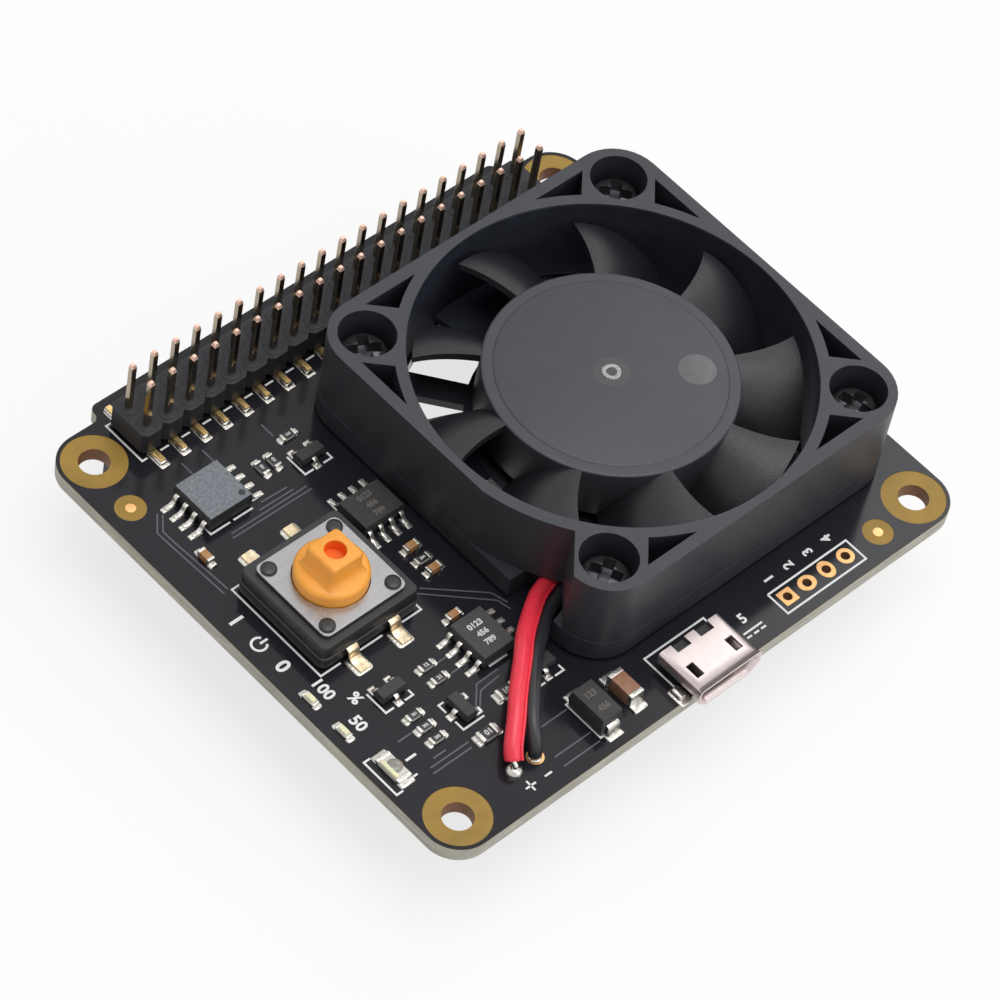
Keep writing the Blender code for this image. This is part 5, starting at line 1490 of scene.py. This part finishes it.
@dataclass
class PushButton:
    """The push button: housing, riveted cover plate, legs, and the orange plunger on its own body."""

    size: float = 11.7
    chamfer: float = 0.8
    cover: float = 9.8
    rivet: float = 0.78
    rivet_at: float = 3.92
    disc: float = 3.5
    disc_top: float = 4.95
    stem: float = 3.8
    stem_foot: float = 4.3
    hole: float = 2.05
    hole_depth: float = 1.3
    room: float = 0.35
    stem_steps: int = 6
    nearly_round: float = 2.02
    leg_width: float = 1.25
    pad_front: tuple[float, float] = (7.1, 2.1)
    pad_rear: tuple[float, float] = (7.3, 2.1)

    @property
    def centre(self) -> Array:
        """Middle of the button in plan."""
        return Box.of("switch_body").centre[:2]

    def housing(self) -> None:
        """The moulded base and its four rivet heads."""
        piece = Piece("button_housing")
        outline = rounded(self.size, self.size, self.chamfer, 4, self.centre)
        levels = [(0.12, 0.3), (0, 0.42), (0, 1.55), (0.1, 1.62), (0.1, 2.9), (0.2, 3.05)]
        piece.loft(stacked(outline, [(d, DECK + z) for d, z in levels]), SWITCH_BLACK)
        top = Box.of("switch_body").top
        r = self.rivet
        head = [
            (r - 0.1, DECK + 3.0), (r - 0.1, top - 0.35), (r, top - 0.3), (r - 0.04, top - 0.14),
            (r - 0.24, top - 0.02), (0.3, top), (POLE, top)
        ]
        for corner in CORNERS:
            spot = self.centre + np.array(corner) * self.rivet_at
            piece.loft(turned(head, 32, spot), SWITCH_BLACK)
        piece.place(Body.BOARD, "black_plastic", "switch_body")

    def plate(self) -> None:
        """The cover plate with its round opening and a fine turned-down edge."""
        piece = Piece("button_plate")
        box = Box.of("switch_cover")
        outer = rounded(self.cover, self.cover, 0.7, 5, self.centre)
        opening = circle(self.disc + 0.07, 64, self.centre)
        piece.plate([outer, opening], box.bottom, box.top, SWITCH_PLATE)
        piece.place(Body.BOARD, "nickel", "switch_cover", edge=0.06)

    def ring(self, side: float, height: float, radius: float | None = None) -> Array:
        """A rounded square about the button's axis, nearly round where no radius is given.

        Args:
            side: Its side.
            height: Its height.
            radius: Radius of its corners.

        Returns:
            The ring's points in space.
        """
        corner = side / self.nearly_round if radius is None else radius
        return ring_at(rounded(side, side, corner, self.stem_steps, self.centre), height)

    def plunger(self) -> None:
        """The plunger: a round flange and disc, and a square stem with a round hole in its end.

        Its underside leaves room above the dome for the whole press.
        """
        piece = Piece("button_plunger")
        low, top = Box.of("switch_dome").top + self.room, Box.of("switch_plunger").top
        disc, r, stem = DECK + self.disc_top, self.disc, self.stem
        base = [
            (r - 0.4, low), (r - 0.05, low + 0.02), (r, disc - 0.5), (r - 0.05, disc - 0.28),
            (r - 0.2, disc - 0.1), (r - 0.45, disc), (POLE, disc)
        ]
        piece.loft(turned(base, 72, self.centre), ORANGE)
        sizes = [
            (self.stem_foot + 0.4, disc - 0.1, 0.3), (self.stem_foot, disc + 0.1, 0.3),
            (stem + 0.1, disc + 0.4, 0.32), (stem, disc + 0.7, 0.36), (stem - 0.05, top - 0.4, 0.4),
            (stem - 0.12, top - 0.2, 0.42), (stem - 0.3, top - 0.06, 0.4), (stem - 0.55, top, 0.36),
            (self.hole + 0.16, top), (self.hole, top - 0.08)
        ]
        piece.loft(np.stack([self.ring(*size) for size in sizes]), ORANGE, caps=False)
        # The hole's wall and floor take the darker orange: painted shade in the recess.
        well = [self.ring(self.hole, height) for height in (top - 0.08, top - self.hole_depth)]
        piece.loft(np.stack(well), ORANGE_PAINTED_SHADE, caps=False)
        floor = well[-1]
        piece.add(floor, [list(range(len(floor)))], piece.mark(ORANGE_PAINTED_SHADE))
        piece.place(Body.PLUNGER, "orange_plastic", "switch_plunger")

    def legs(self) -> None:
        """The four legs and their pads: a strip that leaves the housing, drops and lies on the board."""
        pads = Piece("button_solder")
        for index in range(1, 5):
            node = f"switch_terminal_{index}"
            offset = Box.of(node).centre[:2] - self.centre
            behind = offset[1] > 0
            middle, length = self.pad_rear if behind else self.pad_front
            end = middle + length / 2 - 0.15
            path = softened([(0, 5.5, 1.4), (0, 6.2, 1.4), (0, 6.4, 0.2), (0, end, 0.2)], 2)
            strip = swept(path, rounded(self.leg_width, 0.25, 0.06, 2), (1, 0, 0))
            spot = self.centre + (offset[0], 0)
            piece = Piece(f"button_leg_{index}")
            piece.loft(moved(strip, (*spot, DECK), 0 if behind else 180), LEG_BRASS)
            piece.place(Body.BOARD, "nickel", node)
            solder_pad(pads, spot + (0, middle if behind else -middle), 1.95, length, 0.1)
        pads.place(Body.BOARD, "nickel")

    def build(self) -> None:
        """Builds and dresses the button."""
        self.housing()
        self.plate()
        self.plunger()
        self.legs()


@dataclass
class PowerInlet:
    """The small power inlet: a bent metal shell with slots and a flared mouth, and its insert."""

    wall: float = 0.28
    chamfer: float = 1.05
    bend: float = 0.4
    flare: float = 0.23
    lip: float = 0.45
    slot: tuple[float, float] = (0.9, 1.6)
    slot_at: float = 2.45
    slot_back: float = 3.3
    notch: tuple[float, float] = (1.7, 1.0)
    notch_at: float = 1.45
    width: float = 7.5
    low: float = 0.15
    high: float = 2.45
    block_depth: float = 1.4
    tongue: tuple[float, float] = (3.8, 4.4)

    @property
    def middle(self) -> float:
        """The inlet's middle along X."""
        return float(Box.of("inlet_shell").centre[0])

    @property
    def rear(self) -> float:
        """The inlet's rear edge."""
        return float(Box.of("inlet_shell").high[1])

    def profile(self, inset: float, y: float) -> Array:
        """The shell's section at one depth: slanted lower and round upper corners, drawn in by an inset.

        Args:
            inset: How far it is drawn in.
            y: Its place along Y.

        Returns:
            The section's points in space.
        """
        half = self.width / 2
        c, r = self.chamfer, self.bend
        lower = [(-half, self.low + c), (-half + c, self.low), (half - c, self.low), (half, self.low + c)]
        right = arc((half - r, self.high - r), r, 0, 90, 5)
        left = arc((r - half, self.high - r), r, 90, 180, 5)
        shape = drawn_in(np.concatenate([np.array(lower), right, left]), inset)
        return np.column_stack([shape[:, 0] + self.middle, np.full(len(shape), y), shape[:, 1] + DECK])

    def shell(self) -> None:
        """The shell: its section carried forwards outside and back inside, with the openings cut."""
        front = float(Box.of("inlet_shell").low[1])
        neck, wall, flare = front + self.lip, self.wall, self.flare
        bend = front + 0.15
        sections = [
            (0.0, self.rear), (0.0, neck + 0.15), (-0.06, neck), (-0.6 * flare, bend), (-flare, front),
            (wall - flare, front), (wall - 0.6 * flare, bend), (wall, neck + 0.1), (wall, self.rear)
        ]
        piece = Piece("inlet_sleeve")
        piece.wall(np.stack([self.profile(inset, y) for inset, y in sections]), NICKEL)
        made = piece.place(Body.BOARD, "nickel", "inlet_shell", edge=0.05)
        openings = ((self.slot_at, self.slot, self.slot_back), (self.notch_at, self.notch, 0.0))
        low, high = DECK + 1.6, DECK + 3
        spans = []
        for side in (-1, 1):
            for at, (wide, long), back in openings:
                x, y = self.middle + side * at, self.rear - back
                reach = long if back == 0 else long / 2
                spans.append(((x - wide / 2, y - reach, low), (x + wide / 2, y + long / 2, high)))
        cut(made, *boxes(spans))
        self.feet()

    def feet(self) -> None:
        """The side tabs and the solder that holds the shell."""
        piece = Piece("inlet_solder")
        y = self.rear - self.slot_back
        for side in (-1, 1):
            x = self.middle + side * (self.width / 2 + 0.35)
            piece.loft(bar(0.85, 1.5, 0.25, dome(DECK + 0.01, 0.55, 0.22), (x, y)), SOLDER)
            solder_pad(piece, (x - side * 0.1, y - 0.2), 1.4, 2.1, 0.08)
            solder_pad(piece, (self.middle + side * 1.6, self.rear + 0.2), 1.9, 0.9, 0.08)
        piece.place(Body.BOARD, "nickel")

    def insert(self) -> None:
        """The insulating block and the tongue in the mouth."""
        box = Box.of("inlet_insert")
        piece = Piece("inlet_block")
        low, high = box.bottom, box.top
        x, y = self.middle, float(box.high[1]) - self.block_depth / 2
        block = rounded(float(box.size[0]), self.block_depth, 0.1, 2, (x, y))
        piece.loft(stacked(block, [(0, low), (0, high)]), INLET_BLACK)
        tongue = rounded(*self.tongue, 0.1, 2, (x, float(box.low[1]) + self.tongue[1] / 2))
        levels = [(0.08, low + 0.7), (0, low + 0.8), (0, low + 1.2), (0.08, low + 1.3)]
        piece.loft(stacked(tongue, levels), INLET_BLACK)
        piece.place(Body.BOARD, "black_plastic", "inlet_insert")

    def build(self) -> None:
        """Builds and dresses the inlet."""
        self.shell()
        self.insert()


@dataclass
class LeadedPart:
    """A moulded part with bent leads. Leads stand at (x, side) spots, side 1 behind and -1 in front."""

    node: str
    length: float
    width: float
    top: float
    reach: float
    spots: Sequence[tuple[float, int]]
    turn: float
    mould: Finish
    slot: str
    lead_width: float = 0.48
    pad: tuple[float, float] = (0.62, 1.5)
    rows: Sequence[str] = ()
    ink: Finish = MARK_WHITE
    text_turn: float = 0.0
    text_share: float = 0.62
    dot: tuple[float, float] | None = None
    draft: float = 0.12
    side: Finish | None = None
    stand: float = 0.12
    lead_thick: float = 0.2
    dot_size: float = 0.34

    @property
    def waist(self) -> float:
        """Height of the parting line, where the leads come out."""
        return (self.stand + self.top) / 2

    def body(self, piece: Piece) -> None:
        """The moulded body, which tapers from its parting line to both faces.

        Args:
            piece: The piece that takes it in.
        """
        d, middle, crown = self.draft, self.waist, self.top - 0.06
        lower = [(d, self.stand), (0.0, middle - 0.04), (0.0, middle + 0.04), (d, crown)]
        upper = [(d, crown), (d + 0.05, self.top)]
        # Where a part has its own side finish, the sides below the crown take it: painted shade that
        # darkens them against the top.
        piece.loft(self.set(bar(self.length, self.width, 0.1, lower)), self.side or self.mould)
        piece.loft(self.set(bar(self.length, self.width, 0.1, upper)), self.mould)
        if self.dot is not None:
            r, z = self.dot_size, self.top
            mark = turned([(r, z - 0.02), (r, z + 0.008), (r - 0.04, z + 0.012)], 24, self.dot)
            piece.loft(self.set(mark), DARK_MOULD_AND_SIDE_SHADE)

    def set(self, rings: Array) -> Array:
        """Rings of the part carried to its place on the board."""
        x, y = Box.of(self.node).centre[:2]
        return moved(rings, (x, y, DECK), self.turn)

    def build(self) -> None:
        """Builds and dresses the part."""
        piece = Piece(f"{self.node}_dressed")
        self.body(piece)
        root, z = self.width / 2, self.waist
        path = [
            (0, root - 0.15, z), (0, root + 0.22, z), (0, root + 0.42, 0.17), (0, self.reach - 0.03, 0.14)
        ]
        strip = swept(softened(path, 2), rounded(self.lead_width, self.lead_thick, 0.05, 2), (1, 0, 0))
        width, length = self.pad
        for x, side in self.spots:
            lead = strip * (1, side, 1) + (x, 0, 0)
            piece.loft(self.set(lead), TIN)
            spot = (x, side * (self.reach - length / 2 + 0.4))
            piece.loft(self.set(bar(width, length, 0.1, dome(0.004, 0.12, 0.2 * width), spot)), TIN)
        gap = 0.8 * self.width / max(len(self.rows), 1)
        size = self.text_share * gap
        spin = math.radians(self.text_turn - self.turn)
        for i, row in enumerate(self.rows):
            down = ((len(self.rows) - 1) / 2 - i) * gap
            local = np.array([[[-down * math.sin(spin), down * math.cos(spin), self.top]]])
            piece.numerals(row, size, self.set(local)[0, 0], self.ink, self.text_turn)
        piece.place(Body.BOARD, self.slot, self.node)


@dataclass
class TwoEndedPart:
    """A small block with metal ends: a resistor, a capacitor or a light."""

    node: str
    length: float
    width: float
    height: float
    cap: float
    core: Finish
    slot: str
    top: Finish | None = None
    window: Finish | None = None
    round_window: bool = False
    number: str = ""
    pad_over: float = 0.42
    glaze: float = 0.012
    bulb: float = 0.74
    bulb_at: tuple[float, float] = (0.0, -0.12)

    def set(self, rings: Array) -> Array:
        """Rings of the part carried to its place on the board."""
        box = Box.of(self.node)
        return moved(rings, (*box.centre[:2], DECK), box.axis.value)

    def block(self, piece: Piece, length: float, width: float, low: float, high: float, finish: Finish,
              middle: float = 0.0, edge: float = 0.06) -> None:
        """Adds a block with softened upper edges.

        Args:
            piece: The piece that takes it in.
            length: Side along the part.
            width: Side across the part.
            low: Lower height above the board.
            high: Upper height above the board.
            finish: Its finish.
            middle: Its middle along the part.
            edge: Radius of its upper edges.
        """
        piece.loft(self.set(bar(length, width, edge + 0.02, eased(low, high, edge), (middle, 0))), finish)

    def light(self, piece: Piece, inner: float, seat: float) -> None:
        """Adds the window of a light: a low block, or a round bulb beside a lit bar.

        Args:
            piece: The piece that takes it in.
            inner: Length between the metal ends.
            seat: Height from which the window rises.
        """
        rise = self.height + 0.25
        if not self.round_window:
            self.block(piece, inner - 0.05, self.width * 0.72, seat, rise, self.window, edge=0.14)
            return
        r = self.bulb
        profile = [(r, seat), (r, rise - 0.2), (0.6, rise - 0.05), (0.35, rise), (POLE, rise)]
        piece.loft(self.set(turned(profile, 32, self.bulb_at)), self.window)
        strip = bar(inner, 0.42, 0.1, eased(seat, rise + 0.03, 0.08), (0, self.width / 2 - 0.24))
        piece.loft(self.set(strip), LENS)

    def build(self) -> None:
        """Builds and dresses the part."""
        piece = Piece(f"{self.node}_dressed")
        inner = self.length - 2 * self.cap
        self.block(piece, inner + 0.1, self.width - 0.04, 0.06, self.height - 0.02, self.core)
        face, seat = self.height + self.glaze, self.height - 0.1
        if self.top is not None:
            self.block(piece, inner + 0.02, self.width - 0.06, seat, face, self.top, edge=0.03)
        if self.window is not None:
            self.light(piece, inner, seat)
        crown = dome(0.004, min(0.26, self.height * 0.45), 0.2)
        long, wide = self.cap * 0.9 + self.pad_over, self.width + 0.16
        for side in (-1, 1):
            at = side * (self.length - self.cap) / 2
            self.block(piece, self.cap, self.width, 0.04, self.height, TIN, at, 0.07)
            spot = (side * (self.length / 2 + self.pad_over * 0.25), 0)
            piece.loft(self.set(bar(long, wide, 0.22, crown, spot)), SOLDER)
        if self.number:
            at = self.set(np.array([[[0, 0, face]]]))[0, 0]
            size = self.width * (0.5 if len(self.number) < 3 else 0.38)
            piece.numerals(self.number, size, at, MARK_WHITE, Box.of(self.node).axis.value)
        piece.place(Body.BOARD, self.slot, self.node)


@dataclass
class FanLeads:
    """The two leads of the fan, from the frame's exit to their holes in the board."""

    red: float = 0.78
    black: float = 0.66
    fin: float = 0.26
    core: float = 0.3
    across: tuple[float, float, float] = (0.66, -0.75, 0.0)
    tail: float = 2.3
    plus: tuple[tuple[float, float, float], ...] = (
        (18.1, 13.6, 1.5), (16.1, 12.8, 1.6), (13.8, 12.0, 1.9), (11.3, 10.5, 2.5), (8.9, 8.8, 3.0),
        (7.0, 7.1, 3.3), (4.2, 4.7, 3.3), (2.2, 2.75, 2.9), (0.55, 1.2, 2.0), (0.02, 0.4, 1.2),
    )
    minus: tuple[tuple[float, float, float], ...] = (
        (17.8, 11.5, 1.5), (15.9, 10.9, 1.6), (13.4, 10.05, 1.8), (10.65, 8.3, 2.3), (8.25, 6.5, 2.8),
        (5.5, 4.0, 3.0), (3.7, 2.1, 2.9), (2.75, 0.75, 2.2), (2.5, 0.2, 1.3), (2.5, 0.05, 0.3),
    )

    def lead(self, name: str, route: Sequence[Sequence[float]], hole: Array, radius: float, cover: Finish,
             slot: str) -> None:
        """One lead: a round cover swept along its route, and the bare core that drops into the hole.

        Args:
            name: The node that it stands for.
            route: Points from the first hole at the board's top.
            hole: Place of its own hole.
            radius: Radius of its cover.
            cover: Finish of its cover.
            slot: The record's material slot.
        """
        piece = Piece(f"{name}_dressed")
        start = np.array([*PLUS_HOLE, DECK])
        path = curve_through(np.array(route) + start, 6)
        scale = np.ones(len(path))
        scale[0] = scale[-1] = 0.9
        piece.loft(swept(path, circle(radius, 24), self.across, scale), cover)
        if cover is RED_COVER:
            rest = circle(self.fin, 10) * (0.6, 1.0) + (radius + 0.04, -0.12)
            piece.loft(swept(path[1:], rest, self.across), cover)
        end = path[-1]
        drop = [(*hole, DECK + z) for z in (0.9, 0.4, -self.tail)]
        bare = np.array([end + (0, 0, 0.3), end, *drop])
        piece.loft(swept(bare, circle(self.core, 12), (1, 0, 0)), SOLDER)
        piece.place(Body.BOARD, slot, name)

    def joints(self) -> None:
        """The solder ball at the first hole and the pads at both."""
        piece = Piece("lead_solder")
        ring = [circle(0.84, 32, MINUS_HOLE), circle(0.5, 20, MINUS_HOLE)]
        piece.plate(ring, DECK + FILM, DECK + 0.03, GOLD_PAD)
        angle = np.radians(np.linspace(0, 90, 8))
        for hole, wide, tall in ((PLUS_HOLE, 0.78, 0.66), (MINUS_HOLE, 0.6, 0.2)):
            ball = np.column_stack([0.02 + wide * np.cos(angle), DECK + 0.02 + tall * np.sin(angle)])
            piece.loft(turned(ball, 32, hole), SOLDER)
        piece.place(Body.BOARD, "nickel")

    def build(self) -> None:
        """Builds and dresses both leads."""
        self.lead("plus_lead", self.plus, PLUS_HOLE, self.red, RED_COVER, "red_cover")
        self.lead("minus_lead", self.minus, MINUS_HOLE, self.black, BLACK_COVER, "black_cover")
        self.joints()


@dataclass
class StackingSocket:
    """The two-row socket under the board: its block, square openings and soldered feet."""

    width: float = 5.0
    opening: float = 0.9
    depth: float = 6.8
    shoulder: float = 8.5
    reach: float = 3.95
    foot_inner: float = 2.3
    foot_width: float = 0.62

    def build(self) -> None:
        """Builds and dresses the socket."""
        box = Box.of("stacking_socket")
        low, high = box.bottom, self.shoulder
        piece = Piece("socket_block")
        outer = rounded(float(box.size[0]), self.width, 0.15, 2, (box.centre[0], HEADER_Y))
        spots = [(x, HEADER_Y + side * PITCH / 2) for x in COLUMN_X for side in (-1, 1)]
        openings = [rounded(self.opening, self.opening, 0.05, 1, spot) for spot in spots]
        piece.plate([outer, *openings], low, low + self.depth, HEADER_BLACK)
        piece.loft(stacked(outer, [(0, low + self.depth), (0, high)]), HEADER_BLACK)
        piece.place(Body.BOARD, "black_plastic", "stacking_socket")
        feet = Piece("socket_feet")
        long, middle = self.reach - self.foot_inner, (self.reach + self.foot_inner) / 2
        for x in COLUMN_X:
            for side in (-1, 1):
                strip = rounded(self.foot_width, long, 0.08, 2, (x, HEADER_Y + side * middle))
                feet.loft(stacked(strip, [(0, high - 0.1), (0, high + 0.24)]), TIN)
        feet.place(Body.BOARD, "nickel")


@dataclass
class BoardPrint:
    """White print and faint traces: outlines round the parts, plain numerals and drawn signs."""

    line: float = 0.2
    height: float = 0.02
    trace: float = 0.15
    dash: float = 1.0
    dash_y: float = 21.87
    sign: float = 0.72
    sign_line: float = 0.24
    current_sign: tuple[tuple[float, float, float], ...] = (
        (-26.0, 4.9, 7.3), (-26.5, 4.9, 5.5), (-26.5, 5.8, 6.4), (-26.5, 6.7, 7.3),
    )
    outlines: tuple[tuple[tuple[float, float], ...], ...] = (
        ((-24.9, 27.0), (-25.5, 27.0), (-25.5, 21.9), (-24.9, 21.9)),
        ((-27.4, 5.93), (-28.57, 5.93), (-28.57, -6.05), (-26.2, -6.05)),
        ((-23.9, -6.05), (-21.2, -6.05)),
        ((-18.85, -6.05), (-16.5, -6.05), (-16.5, -5.2)),
        ((-23.7, 11.77), (-25.98, 11.77), (-25.98, 12.6)),
        ((-23.3, 11.77), (-21.0, 11.77)),
        ((-14.62, 14.3), (-14.62, 11.77), (-13.6, 11.77)),
        ((-12.37, 11.77), (-11.35, 11.77), (-11.35, 12.5)),
        ((-26.65, -10.0), (-26.65, -12.55), (-25.7, -12.55)),
        ((-24.4, -12.55), (-23.4, -12.55), (-23.4, -11.9)),
        ((-21.8, -14.8), (-22.4, -14.8), (-22.4, -15.8)),
        ((-22.4, -17.0), (-22.4, -18.08), (-19.9, -18.08)),
        ((-13.7, -18.8), (-13.1, -18.8)),
        ((-11.9, -18.8), (-10.83, -18.8), (-10.83, -18.1)),
        ((-15.9, -14.42), (-13.7, -14.42)),
        ((-12.7, -21.7), (-13.3, -21.7), (-13.3, -26.2), (-12.7, -26.2)),
        ((-31.0, -15.3), (-31.75, -15.3), (-31.75, -19.6), (-31.0, -19.6)),
        ((-29.4, -19.04), (-28.8, -19.04)),
        ((-4.2, -26.5), (-4.2, -22.4), (3.3, -22.4), (3.3, -23.2)),
        ((9.9, -24.15), (9.9, -26.8), (20.2, -26.8), (20.2, -24.15), (9.9, -24.15)),
        ((-22.35, -26.1), (-21.15, -26.1)),
        ((-21.75, -25.5), (-21.75, -26.7)),
        ((-20.1, -26.15), (-19.25, -26.15)),
    )
    traces: tuple[tuple[tuple[float, float], ...], ...] = (
        ((-20.0, 11.8), (-16.9, 11.7)),
        ((-20.7, 11.2), (-16.6, 11.15)),
        ((-24.45, 10.7), (-15.4, 10.7)),
        ((-24.7, 10.25), (-15.2, 10.2)),
        ((-28.3, 16.5), (-29.75, 14.8), (-29.7, 13.1), (-29.4, 6.0)),
        ((-28.0, 16.1), (-29.25, 14.6), (-29.2, 13.0), (-28.8, 6.2)),
        ((-15.6, -4.5), (-10.3, -9.5), (-10.0, -10.9)),
        ((-15.0, -4.2), (-10.2, -8.5), (-9.7, -10.2)),
        ((-19.8, -16.9), (-18.1, -15.15), (-15.5, -15.1)),
        ((-19.6, -17.2), (-18.3, -15.9), (-15.9, -15.7)),
        ((-27.5, -19.3), (-22.9, -19.3)),
        ((-27.7, -19.9), (-23.1, -19.9)),
        ((-27.9, -15.5), (-26.3, -15.5)),
        ((-26.6, -18.7), (-25.1, -18.7)),
        ((-17.8, -11.3), (-19.4, -11.3)),
        ((-18.1, -12.9), (-19.1, -12.9)),
        ((-18.0, -22.1), (-13.6, -22.1)),
        ((-18.0, -25.2), (-13.6, -25.2)),
        ((-18.0, -26.4), (-13.6, -26.4)),
        ((-14.0, 16.9), (-14.0, 18.6)),
        ((-20.3, 17.6), (-20.3, 19.6)),
        ((-22.8, 17.9), (-22.8, 19.6)),
    )
    labels: tuple[tuple[str, float, tuple[float, float], float], ...] = (
        ("1", 1.55, (-30.5, 3.1), -90.0),
        ("0", 1.55, (-30.5, -3.2), -90.0),
        ("100", 1.25, (-29.3, -7.35), -90.0),
        ("50", 1.25, (-29.3, -11.9), -90.0),
        ("%", 1.25, (-27.7, -9.7), -90.0),
        ("1", 1.2, (-28.1, -17.4), 90.0),
        ("5", 1.1, (6.1, -24.6), 0.0),
        ("1", 1.1, (11.25, -22.9), 90.0),
        ("2", 1.1, (13.79, -22.9), 90.0),
        ("3", 1.1, (16.33, -22.9), 90.0),
        ("4", 1.1, (18.87, -22.9), 90.0),
    )
    power_sign: tuple[float, float] = (-30.6, -0.1)

    def strokes(self, piece: Piece) -> None:
        """Adds the lines, the dashes between the header's pads, the power sign and the current sign.

        Args:
            piece: The piece that takes them in.
        """
        low, high = DECK + FILM, DECK + self.height
        lines = list(self.outlines)
        middles = COLUMN_X[:-1] + PITCH / 2
        lines += [((x - self.dash / 2, self.dash_y), (x + self.dash / 2, self.dash_y)) for x in middles]
        for path in lines:
            piece.loft(ribbon(path, self.line, low, high), PRINT)
        x, y = self.power_sign
        for path in (arc((x, y), self.sign, 35, 325, 20), ((x + 0.1, y), (x + 0.98, y))):
            piece.loft(ribbon(path, self.sign_line, low, high), PRINT)
        for y, start, end in self.current_sign:
            piece.loft(ribbon([(start, y), (end, y)], self.line, low, high), PRINT)

    def build(self) -> None:
        """Builds and dresses the print and the traces."""
        piece = Piece("board_print")
        self.strokes(piece)
        for text, size, (x, y), turn in self.labels:
            piece.numerals(text, size, (x, y, DECK + FILM), PRINT, turn, weight=0.03)
        piece.place(Body.BOARD, "lacquer")
        raised = Piece("board_traces")
        for path in self.traces:
            raised.loft(ribbon(path, self.trace, DECK + 0.001, DECK + 0.012), TRACE)
        raised.place(Body.BOARD, "lacquer")


CHIP_COLUMNS = tuple((i - 1.5) * 1.27 for i in range(4))
CHIP_SPOTS = tuple((x, side) for x in CHIP_COLUMNS for side in (-1, 1))
TRANSISTOR_SPOTS = ((-0.95, 1), (0.95, 1), (0.0, -1))
DIODE_SPOTS = ((0.0, 1), (0.0, -1))
SMALL_RESISTOR = (1.6, 0.8, 0.45, 0.3)
WIDE_RESISTOR = (2.0, 1.25, 0.55, 0.4)
FIRST_WIDE = 10


def soldered_parts() -> list[LeadedPart | TwoEndedPart]:
    """The chips, transistors, diode, resistors, capacitors and lights of the board.

    Returns:
        The parts, ready to build.
    """
    count = ("0123", "456", "789")
    parts: list[LeadedPart | TwoEndedPart] = [
        # Its sides take the dark mould: painted shade under the grey top.
        LeadedPart(
            "control_chip", 5.15, 5.15, 1.9, 4.0, CHIP_SPOTS, 90.0, GREY_MOULD, "grey_mould",
            dot=(-1.8, -1.8), side=DARK_MOULD_AND_SIDE_SHADE
        ),
        LeadedPart(
            "power_chip", 4.9, 3.9, 1.6, 3.1, CHIP_SPOTS, 0.0, DARK_MOULD_AND_SIDE_SHADE, "black_mould",
            rows=count, ink=MARK_DIM
        ),
        LeadedPart(
            "thermostat_chip", 4.9, 3.9, 1.6, 3.1, CHIP_SPOTS, 90.0, SLATE_MOULD, "black_mould",
            rows=count
        ),
        LeadedPart(
            "inlet_diode", 2.6, 4.3, 2.3, 2.7, DIODE_SPOTS, 0.0, DARK_MOULD_AND_SIDE_SHADE, "black_mould",
            lead_width=1.4, pad=(1.8, 1.4), rows=("123", "456"), ink=MARK_DIM, text_share=0.4
        ),
    ]
    for i, turn in enumerate((0.0, 0.0, -90.0, 0.0), 1):
        parts.append(LeadedPart(
            f"transistor_{i}", 2.9, 1.3, 1.1, 1.2, TRANSISTOR_SPOTS, turn, DARK_MOULD_AND_SIDE_SHADE, "black_mould",
            pad=(0.8, 0.9), draft=0.08
        ))
    numbers = ("102", "103", "104", "12", "21", "201", "202", "203", "204", "10", "01")
    for i, number in enumerate(numbers, 1):
        size = WIDE_RESISTOR if i >= FIRST_WIDE else SMALL_RESISTOR
        parts.append(TwoEndedPart(
            f"resistor_{i}", *size, ALUMINA, "resistor_black", top=RESISTOR_BLACK, number=number
        ))
    for i in range(1, 5):
        parts.append(TwoEndedPart(f"capacitor_{i}", 1.6, 0.8, 0.8, 0.35, CERAMIC_TAN, "ceramic"))
    parts.append(TwoEndedPart(
        "inlet_capacitor", 3.2, 1.6, 1.6, 0.5, CERAMIC_BROWN, "ceramic", pad_over=0.9
    ))
    for name in ("fan_light_high", "fan_light_low"):
        parts.append(TwoEndedPart(name, 1.6, 0.8, 0.3, 0.24, ALUMINA, "clear_lens", window=LENS))
    parts.append(TwoEndedPart(
        "power_light", 3.2, 1.6, 0.5, 0.5, ALUMINA, "clear_lens", window=LENS_GREY, round_window=True
    ))
    return parts


def dress_nodes() -> None:
    """Gives the inner nodes that stay as they are their finishes."""
    finishes = {
        "magnet_ring": MAGNET,
        "rotor_shaft": STEEL,
        "shaft_bearing": BRASS,
        "motor_board": LACQUER,
        "wound_stator": WINDING,
        "switch_dome": STEEL,
    }
    for name, finish in finishes.items():
        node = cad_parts[name]
        node.data.materials.clear()
        node.data.materials.append(finish.material())
        log.info("%s: keeps its shape, dressed as %s", name, finish.name)


def main() -> None:
    """Builds the sub-assemblies in order."""
    logging.basicConfig(level=logging.INFO, format="%(message)s")
    Studio().build()
    CircuitBoard().build()
    PinHeader().build()
    FanFrame().build()
    FanRotor().build()
    FanFixings().build()
    PushButton().build()
    PowerInlet().build()
    for part in soldered_parts():
        part.build()
    FanLeads().build()
    StackingSocket().build()
    BoardPrint().build()
    dress_nodes()


if __name__ == "__main__":
    main()
